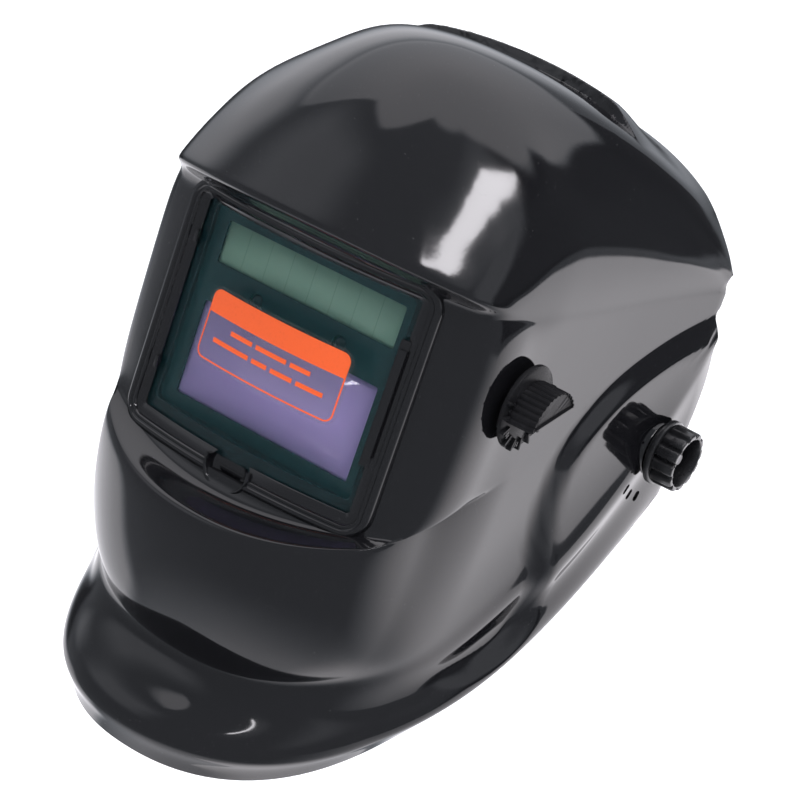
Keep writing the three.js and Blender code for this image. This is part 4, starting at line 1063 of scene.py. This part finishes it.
def padded_band(path, half, thick, crown):
    """A padded strip: crowned on its inner side, drawn in at a stitched border, rounded at both ends."""
    last = len(path) - 1
    loops = []
    for i, (x, y, nx, ny) in enumerate(path):
        s = i / last
        end = min(1.0, (min(i, last - i) + 0.4) / 7.0)
        taper = math.sqrt(max(1 - (1 - end) ** 2, 0.02))
        h = half * (0.72 + 0.28 * taper)
        ripple = 0.22 * math.sin(s * 150) + 0.16 * math.sin(s * 61 + 1.3)
        shares = [-1 + 2 * k / PAD["columns"] for k in range(PAD["columns"] + 1)]
        loop = []
        for u in shares:
            edge = (1 - abs(u)) * half
            puff = (1 - abs(u) ** 2.6) ** 0.55 if abs(u) < 1 else 0
            dent = math.exp(-((edge - PAD["seam"]) / 0.8) ** 2) * 0.55
            depth = (thick * 0.35 + crown * puff) * (0.45 + 0.55 * taper) - dent * taper
            depth += ripple * (1 - abs(u)) * 0.5
            loop.append((x - nx * depth, y - ny * depth, u * h))
        for u in shares[::-1]:
            bulge = 0.35 * thick * (1 - abs(u) ** 4) * 0.9
            loop.append((x + nx * bulge, y + ny * bulge, u * (h - 0.25)))
        loops.append(loop)
    return rings(loops)


def stitch(x, y, z, along, outward):
    """One thread stitch, its ends sunk into the fabric."""
    (tx, ty), (nx, ny) = along, outward
    loops = []
    for k in range(5):
        u = -1 + k / 2
        sink = 0.42 * u * u
        size = STITCH["r"] * math.sqrt(max(1 - (u * 0.97) ** 4, 0.05))
        run = u * STITCH["length"] / 2
        loop = []
        for a in turns(7):
            off = size * math.cos(a) + sink
            loop.append((x + tx * run + nx * off, y + ty * run + ny * off, z + size * math.sin(a)))
        loops.append(loop)
    return rings(loops)


def stitches(path, outward):
    """Rows of stitches along a plan path, near a pad's upper and lower edge."""
    shape = Shape()
    for height in (STITCH["row"], -STITCH["row"]):
        walked = 0.0
        next_at = STITCH["first"]
        for (x0, y0, nx, ny), (x1, y1, _, _) in zip(path, path[1:]):
            step = math.hypot(x1 - x0, y1 - y0)
            while walked + step >= next_at:
                t = (next_at - walked) / step
                shape += stitch(x0 + (x1 - x0) * t + nx * outward, y0 + (y1 - y0) * t + ny * outward, height,
                                ((x1 - x0) / step, (y1 - y0) / step), (nx, ny))
                next_at += STITCH["pitch"]
            walked += step
    return shape


def make_sweatband(fabric, sewing):
    path = oval_path(BAND["a"] - PAD["inset"], BAND["b"] - PAD["inset"], steps=170, start=0.5)
    pad = padded_band(path, PAD["half"], 2.6, 2.3).moved(BAND_FRAME)
    obj = piece("sweatband_pad", pad, fabric, "headgear", "sweatband", flat=75)
    rows = stitches(path, -2.35).moved(BAND_FRAME)
    piece("sweatband_stitching", rows, sewing, "headgear", "sweatband")


def make_nape_pad(fabric, sewing):
    path = arc_path(75.4, -26.4, 26.4, 90)
    pad = padded_band(path, PAD["half"], 2.8, 2.0).moved(BAND_FRAME)
    obj = piece("nape_pad_cushion", pad, fabric, "rear_unit", "nape_pad", flat=75)
    rows = stitches(path, -2.25).moved(BAND_FRAME)
    piece("nape_pad_stitching", rows, sewing, "rear_unit", "nape_pad")


STRAP = {"half": 11, "past": 19.5, "teeth": 18.5, "full": 49, "end": 95, "root": 6.9, "tip": 5.4, "t": 2}
PINION = {"pitch_r": 6, "teeth": 12}
PITCH_TURN = 2 * math.pi * PINION["pitch_r"] / PINION["teeth"] / STRAP_R


def rear_strap():
    """The left rear strap: full width to the side, and a narrow toothed rack over the pinion."""
    half, root, tip = STRAP["half"], STRAP["root"], STRAP["tip"]

    def section_at(share):
        angle = -STRAP["past"] + (STRAP["end"] + STRAP["past"]) * share
        blend = float(smooth(STRAP["full"] - 1.2, STRAP["full"] + 1.2, angle))
        low = root + (-half - root) * blend
        end = float(smooth(0, 1, (STRAP["end"] - angle) / 6))
        top = half * (0.7 + 0.3 * math.sqrt(max(end, 0.001)))
        return rounded_section(top, STRAP["t"], max(low, -top) if blend > 0.5 else low)
    shape = ribbon(arc_path(STRAP_R, -STRAP["past"], STRAP["end"], 150), section_at)
    tooth = ((-0.88, root + 0.4), (-0.3, tip + 0.15), (-0.12, tip),
             (0.12, tip), (0.3, tip + 0.15), (0.88, root + 0.4))
    teeth = int(math.radians(STRAP["teeth"]) / PITCH_TURN)
    for i in range(-teeth, teeth):
        turn = (i + 0.5) * PITCH_TURN
        shape += rings([[(r * math.sin(turn) + c * math.cos(turn), r * math.cos(turn) - c * math.sin(turn), z)
                         for c, z in tooth] for r in (STRAP_R - 0.85, STRAP_R + 0.85)])
    return shape


def make_rear_straps(material):
    for side, name in SIDES:
        shape = rear_strap()
        if side < 0:
            shape = shape.moved(Matrix.Rotation(math.pi, 4, "Y"))
        obj = piece(f"rear_strap_{name}_moulding", shape.moved(BAND_FRAME), material, f"{name}_strap",
                    f"rear_strap_{name}", flat=40)
        hole = turned([(3.4, side * 70), (3.4, side * 92)], 28)
        cut(obj, hole.moved(BAND_FRAME), 40, "EXACT")


def make_housings(material):
    turn, half = HOUSING["turn"], HOUSING["half"]
    front = strip(arc_path(79.7, -turn, turn), half, 2.0).moved(BAND_FRAME)
    obj = piece("ratchet_housing_inner", front, material, "rear_unit", "ratchet_housing_front", flat=40)
    cut(obj, slot_block(3, 70, 90, 3).moved(BAND_FRAME), flat=40)
    back = strip(arc_path(84.3, -turn, turn), half, 2.0)
    for low, high in ((HOUSING["lip"], half), (-half, -HOUSING["lip"])):
        back += strip(arc_path(82.4, -turn, turn), high, 2.6, low)
    for side in (-1, 1):
        for z in (-9, -3, 3, 9):
            back += strip(arc_path(85.45, side * 24, side * 34, 8), z + 1.1, 0.9, z - 1.1)
    back = back.moved(BAND_FRAME)
    piece("ratchet_housing_outer", back, material, "rear_unit", "ratchet_housing_back", flat=40)


def make_ratchet_knob(material):
    """A fluted hand knob, dished, with a finger bar across it."""
    back, end = RATCHET["back"], RATCHET["end"]
    outline = lobed(RATCHET["r"], 16, 1.9, 1.8, 12)
    angles = [math.atan2(z, y) for y, z in outline]
    rim = ((back, 1.0), (back + 0.4, 0.3), (back + 1.2, 0),
           (end - 3, 0.2), (end - 1, 0.6), (end - 0.3, 1.2), (end, 2.2))
    dish = ((end - 0.1, 16.6), (end - 0.6, 16.1), (end - 2.0, 15.2), (end - 2.6, 12), (end - 2.8, 6))
    grip = rings([outline_at(x, outline, inset) for x, inset in rim]
                 + [circle_at(x, r, angles) for x, r in dish])
    bar = arc(13.1, 0, 2.3, -90, 180, 8) + arc(-13.1, 0, 2.3, 90, 180, 8)
    bar = rings([[(x, y * grow, z * grow) for y, z in bar]
                 for x, grow in ((end - 3.2, 1.05), (end - 0.2, 1.0), (end + 0.6, 0.94), (end + 1.0, 0.8))])
    shaft = turned([(0, 79.2), (2.6, 79.2), (2.6, 83.2), (4, 83.2), (4, back + 2)], 32)
    shape = (grip + bar + shaft).moved(Matrix.Rotation(math.pi / 2, 4, "Z"))
    piece("ratchet_knob_moulding", shape.moved(BAND_FRAME), material, "ratchet", "ratchet_knob", flat=40)


CROWN = {"z": 5, "a": 86.4, "b": 107, "t": 1.6, "y0": -22, "y1": -2, "past": 8, "foot": -2, "step": 2.1,
         "hole_r": 2.8, "holes": (0, 9, 18)}


def make_crown_strap(side, name, material):
    """Half of the crown strap, from its foot at the side over the top of the head."""
    c = CROWN
    b = c["b"] if side > 0 else c["b"] - c["step"]
    mid = c["t"] / 2
    path = [(c["a"] + mid, c["foot"] + (c["z"] - c["foot"]) * k / 5, 1, 0) for k in range(5)]
    top = math.radians(90 + c["past"])
    for k in range(91):
        t = top * k / 90
        nx, nz = math.cos(t) / c["a"], math.sin(t) / b
        size = math.hypot(nx, nz)
        path.append(((c["a"] + mid) * math.cos(t), c["z"] + (b + mid) * math.sin(t), nx / size, nz / size))
    middle = (c["y1"] + c["y0"]) / 2
    section = rounded_section((c["y1"] - c["y0"]) / 2, c["t"])
    last = len(path) - 1
    loops = []
    for i, (x, z, nx, nz) in enumerate(path):
        tongue = min(1.0, (last - i + 0.5) / 5)
        narrow = 0.55 + 0.45 * math.sqrt(1 - (1 - tongue) ** 2)
        loops.append([(x + o * nx, middle + w * narrow, z + o * nz) for o, w in section])
    obj = piece(f"crown_strap_{name}_moulding", sided(rings(loops), side), material, "headgear",
                f"crown_strap_{name}", flat=40)
    holes = Shape()
    for x in c["holes"]:
        circle = arc(side * x, middle, c["hole_r"], 0, 360, 28)[:-1]
        holes += rings([[(px, py, z) for px, py in circle] for z in (90, 130)])
    cut(obj, holes, 40, "EXACT")


def make_shade_cable(material):
    """The short lead from the cartridge to the shade potentiometer, held at both ends."""
    points = ((56, -134.8, 44), (61, -132.4, 44), (65, -124, 38), (68, -114, 28), (72.2, -109, 20.6))
    curve = bpy.data.curves.new("shade_lead", "CURVE")
    curve.dimensions = "3D"
    curve.bevel_depth = 1.2 * MM
    curve.bevel_resolution = 4
    curve.resolution_u = 16
    spline = curve.splines.new("BEZIER")
    spline.bezier_points.add(len(points) - 1)
    for point, place in zip(spline.bezier_points, points):
        point.co = Vector(place) * MM
        point.handle_left_type = point.handle_right_type = "AUTO"
    stand_in(place_object("shade_lead", curve, material), "shell_unit", "shade_cable")


# ---------------------------------------------------------------- studio
DEGREES = 180 / math.pi
PAPER_WHITE = (1, 1, 1, 1)


def make_world():
    """A white studio as the shell mirrors it: a pale floor and walls, open sky, a dark room and a key light.

    Azimuth 0 is in front of the helmet and 90 is at its left.
    """
    world = bpy.data.worlds.new("studio")
    bpy.context.scene.world = world
    world.use_nodes = True
    n = Nodes(world.node_tree)
    world.node_tree.nodes.clear()
    x, y, z = n.axes(n.new("ShaderNodeTexCoord").outputs["Generated"])
    azimuth = n.times(n.maths("ARCTAN2", x, n.times(y, -1)), DEGREES)
    height = n.times(n.maths("ARCSINE", z), DEGREES)
    light = studio_light(n, azimuth, height)
    tint = n.mix(n.ramp(light, 0.2, 2.0), (0.86, 0.91, 1.0, 1), (1.0, 0.975, 1.02, 1))
    studio = n.new("ShaderNodeBackground")
    n.put(studio.inputs["Color"], tint)
    n.put(studio.inputs["Strength"], light)
    backdrop = n.new("ShaderNodeBackground")
    n.put(backdrop.inputs["Color"], PAPER_WHITE)
    choice = n.new("ShaderNodeMixShader")
    for socket, value in zip(choice.inputs, (n.new("ShaderNodeLightPath").outputs["Is Camera Ray"],
                                             studio.outputs[0], backdrop.outputs[0])):
        n.put(socket, value)
    n.put(n.new("ShaderNodeOutputWorld").inputs["Surface"], choice.outputs[0])


def studio_light(n, azimuth, height):
    """The light that comes from each direction."""
    def band(value, low, high, soft):
        fall = n.ramp(value, high - soft, high + soft, 1.0, 0.0)
        return n.times(n.ramp(value, low - soft, low + soft), fall)

    def profile(start, *changes, smooth=True):
        """A number that changes over the azimuth, by a change between each pair of azimuths."""
        total = start
        for low, high, change in changes:
            total = n.plus(total, n.ramp(azimuth, low, high, 0.0, change, smooth))
        return total

    def dimmed(value, where, share):
        return n.times(value, n.ramp(where, 0, 1, 1.0, share, False))

    light = n.ramp(height, -72, -45, 1.3, 0.4)
    # The open sky starts over a line that rises and falls with the azimuth.
    skyline = profile(42.0, (-180, -150, -10.0), (-88, -64, 26.0), (-40, -12, 23.0), (70, 132, -19.0),
                      (136, 160, -20.0))
    over_skyline = n.minus(height, skyline)
    light = n.plus(light, n.times(n.ramp(over_skyline, -1.5, 2), n.ramp(height, 30, 66, 0.6, 1.15)))
    # Pale walls: left, rear right, front right, and low at the rear right.
    rear_right = n.times(n.ramp(azimuth, -78, -96), n.ramp(azimuth, -180, -140))
    walls = ((band(azimuth, 63, 150, 11.0), (8, 58, 6.0), 0.4), (rear_right, (9, 30, 7.0), 0.9),
             (band(azimuth, -70, -25, 12.0), (18, 48, 8.0), 0.5),
             (band(azimuth, -170, -84, 6.0), (-48, -16, 4.0), 1.1))
    for across, (low, high, soft), strength in walls:
        light = n.plus(light, n.times(across, n.times(band(height, low, high, soft), strength)))
    light = dimmed(light, n.times(band(azimuth, -178, -100, 5.0), band(height, -13, 3, 5.0)), 0.2)
    # A dark room on the left and behind, between the floor sweep's edge and the skyline.
    over_sweep = n.minus(height, profile(-6.0, (98, 152, 20.0), smooth=False))
    dark_room = n.times(n.ramp(azimuth, 91, 99), n.ramp(over_sweep, -1.5, 1.5))
    light = dimmed(light, n.times(dark_room, n.ramp(over_skyline, -1.5, 2, 1.0, 0.0)), 0.2)
    sweep = n.times(n.ramp(azimuth, 66, 132, 0.0, 1.0), n.ramp(over_sweep, -6, -4, 1.0, 0.0))
    light = n.plus(light, n.times(n.times(sweep, n.ramp(height, -46, -8, 0.42, 1.0)), 2.3))
    # The long key light, a curved stripe of uneven width with a soft halo.
    stripe = profile(44.4, (28, 38, 2.6), (38, 52, 8.3), (52, 66, 6.6), (66, 82, 4.0), smooth=False)
    half = profile(0.9, (33, 51, 3.6), (78, 104, -4.0), smooth=False)
    inside = n.minus(half, n.maths("ABSOLUTE", n.minus(height, stripe)))
    key = n.times(n.times(n.ramp(inside, -0.35, 0.45), band(azimuth, 26, 106, 1.0)), 15.0)
    halo = n.times(n.times(n.ramp(inside, -13, 0), band(azimuth, 30, 96, 12.0)), 0.35)
    return n.plus(light, n.plus(key, halo))


def make_floor():
    """A plain pale sweep well under the worn helmet."""
    size, height = 60, -0.62
    data = bpy.data.meshes.new("studio_floor")
    corners = [(x * size, y * size, height) for x, y in ((-1, -1), (1, -1), (1, 1), (-1, 1))]
    data.from_pydata(corners, [], [(0, 1, 2, 3)])
    n = Surface("studio_paper")
    n.look(n.mix(n.noise(3, 2), grey(0.9), grey(0.92)), 0.9,
           others=[("Emission Color", PAPER_WHITE), ("Emission Strength", 0.35)])
    floor = place_object("studio_floor", data, n.material)
    floor.visible_glossy = False


def make_lamp(name, place, size, power):
    """A soft lamp aimed at the helmet's middle."""
    data = bpy.data.lights.new(name, "AREA")
    data.energy = power
    data.size = size
    lamp = place_object(name, data)
    lamp.location = place
    lamp.rotation_mode = "QUATERNION"
    lamp.rotation_quaternion = (-Vector(place)).to_track_quat("-Z", "Y")
    lamp.visible_glossy = False
    lamp.visible_camera = False


# ---------------------------------------------------------------- build
def main():
    make_camera()
    make_world()
    make_floor()
    make_lamp("softbox_above", (0.6, -0.5, 1.6), 1.2, 22)
    make_lamp("softbox_behind", (-0.3, 1.3, 0.9), 1.0, 12)
    bpy.context.scene.view_settings.view_transform = "Standard"

    shell_black = gloss_shell()
    satin = moulded("satin_black", grey(0.012, 0.001), grey(0.03, 0.002), (0.26, 0.42))
    gloss_knob = moulded("knob_black", grey(0.008, 0.001), grey(0.024, 0.002), (0.16, 0.3), 0.06)
    dial_black = moulded("dial_black", grey(0.009, 0.001), grey(0.024, 0.002), (0.2, 0.34), 0.06, sheen=0.05)
    matt = moulded("matt_black", grey(0.015, 0.001), grey(0.04, 0.002), (0.5, 0.65), 0.25, 1800)
    nylon = moulded("natural_nylon", linear(212, 210, 200), linear(228, 226, 218), (0.35, 0.5))
    steel = plated("zinc_plate", grey(0.2, 0.005), 0.32)
    can = plated("pressed_can", grey(0.38, 0.02), 0.34)
    teal = moulded("teal_housing", (0.014, 0.04, 0.043, 1), (0.022, 0.055, 0.06, 1), (0.1, 0.2), 0.03)
    fabric = terry("black_towelling", grey(0.012, 0.002), grey(0.05, 0.005))
    sewing = thread("grey_thread", grey(0.16, 0.01))

    dial = joint_place("shade_turn")
    make_shell(shell_black, dial)
    make_bezel(shell_black)
    make_notch(shell_black)
    make_clips(shell_black)
    lens_teal = clear_plate("lens_teal", (0.008, 0.04, 0.046, 1), 0.2)
    lens = sheet_on_window(LENS, 4.5, 1.2)
    piece("cover_lens", lens, lens_teal, "shell_unit", "front_cover_lens", bevel=0.15)
    orange = printed_film("orange_print", linear(238, 90, 22))
    make_film(orange, clear_plate("film_clear", grey(0.3), 0.04, 0.06))
    make_shade_cable(moulded("pvc_sleeve", grey(0.012), grey(0.03), (0.45, 0.6)))
    make_shade_knob(dial_black, gloss_knob, dial)

    eye = clear_plate("sensor_resin", (0.01, 0.02, 0.022, 1), 1.0, 0.05)
    inner_clear = clear_plate("inner_clear", (0.35, 0.37, 0.38, 1), 0.16)
    dress("arc_sensor_left", eye, 0, 50)
    dress("arc_sensor_right", eye, 0, 50)
    for node, material, bevel in (
            ("cartridge_front_housing", teal, 0.15), ("cartridge_rear_housing", satin, 0.25),
            ("solar_cell", solar_film(), 0), ("lcd_shutter", filter_glass(), 0),
            ("circuit_board", circuit_green(), 0), ("inner_cover_lens", inner_clear, 0.2),
            ("coin_cell_left", steel, 0.15), ("coin_cell_right", steel, 0.15),
            ("sensitivity_dial", satin, 0.35), ("delay_dial", satin, 0.35),
            ("filter_retaining_frame", matt, 0.4), ("shade_potentiometer", can, 0.3),
            ("potentiometer_nut", steel, 0.25), ("spacer_washer_left", matt, 0.25),
            ("angle_stop_right", satin, 0.25), ("crown_strap_peg", satin, 0.3),
            ("ratchet_pinion", nylon, 0.15)):
        dress(node, material, bevel)

    for side, name in SIDES:
        make_tension_knob(side, name, gloss_knob)
        make_crown_strap(side, name, satin)
        for node, material, bevel in (("tension_nut", steel, 0.3), ("pivot_bolt", steel, 0.25),
                                      ("outer_washer", satin, 0.25), ("friction_washer", matt, 0.25),
                                      ("headgear_arm", satin, 0.5)):
            dress(f"{node}_{name}", material, bevel)
    make_headband(satin)
    make_sweatband(fabric, sewing)
    make_rear_straps(satin)
    make_housings(satin)
    make_ratchet_knob(satin)
    make_nape_pad(fabric, sewing)


main()
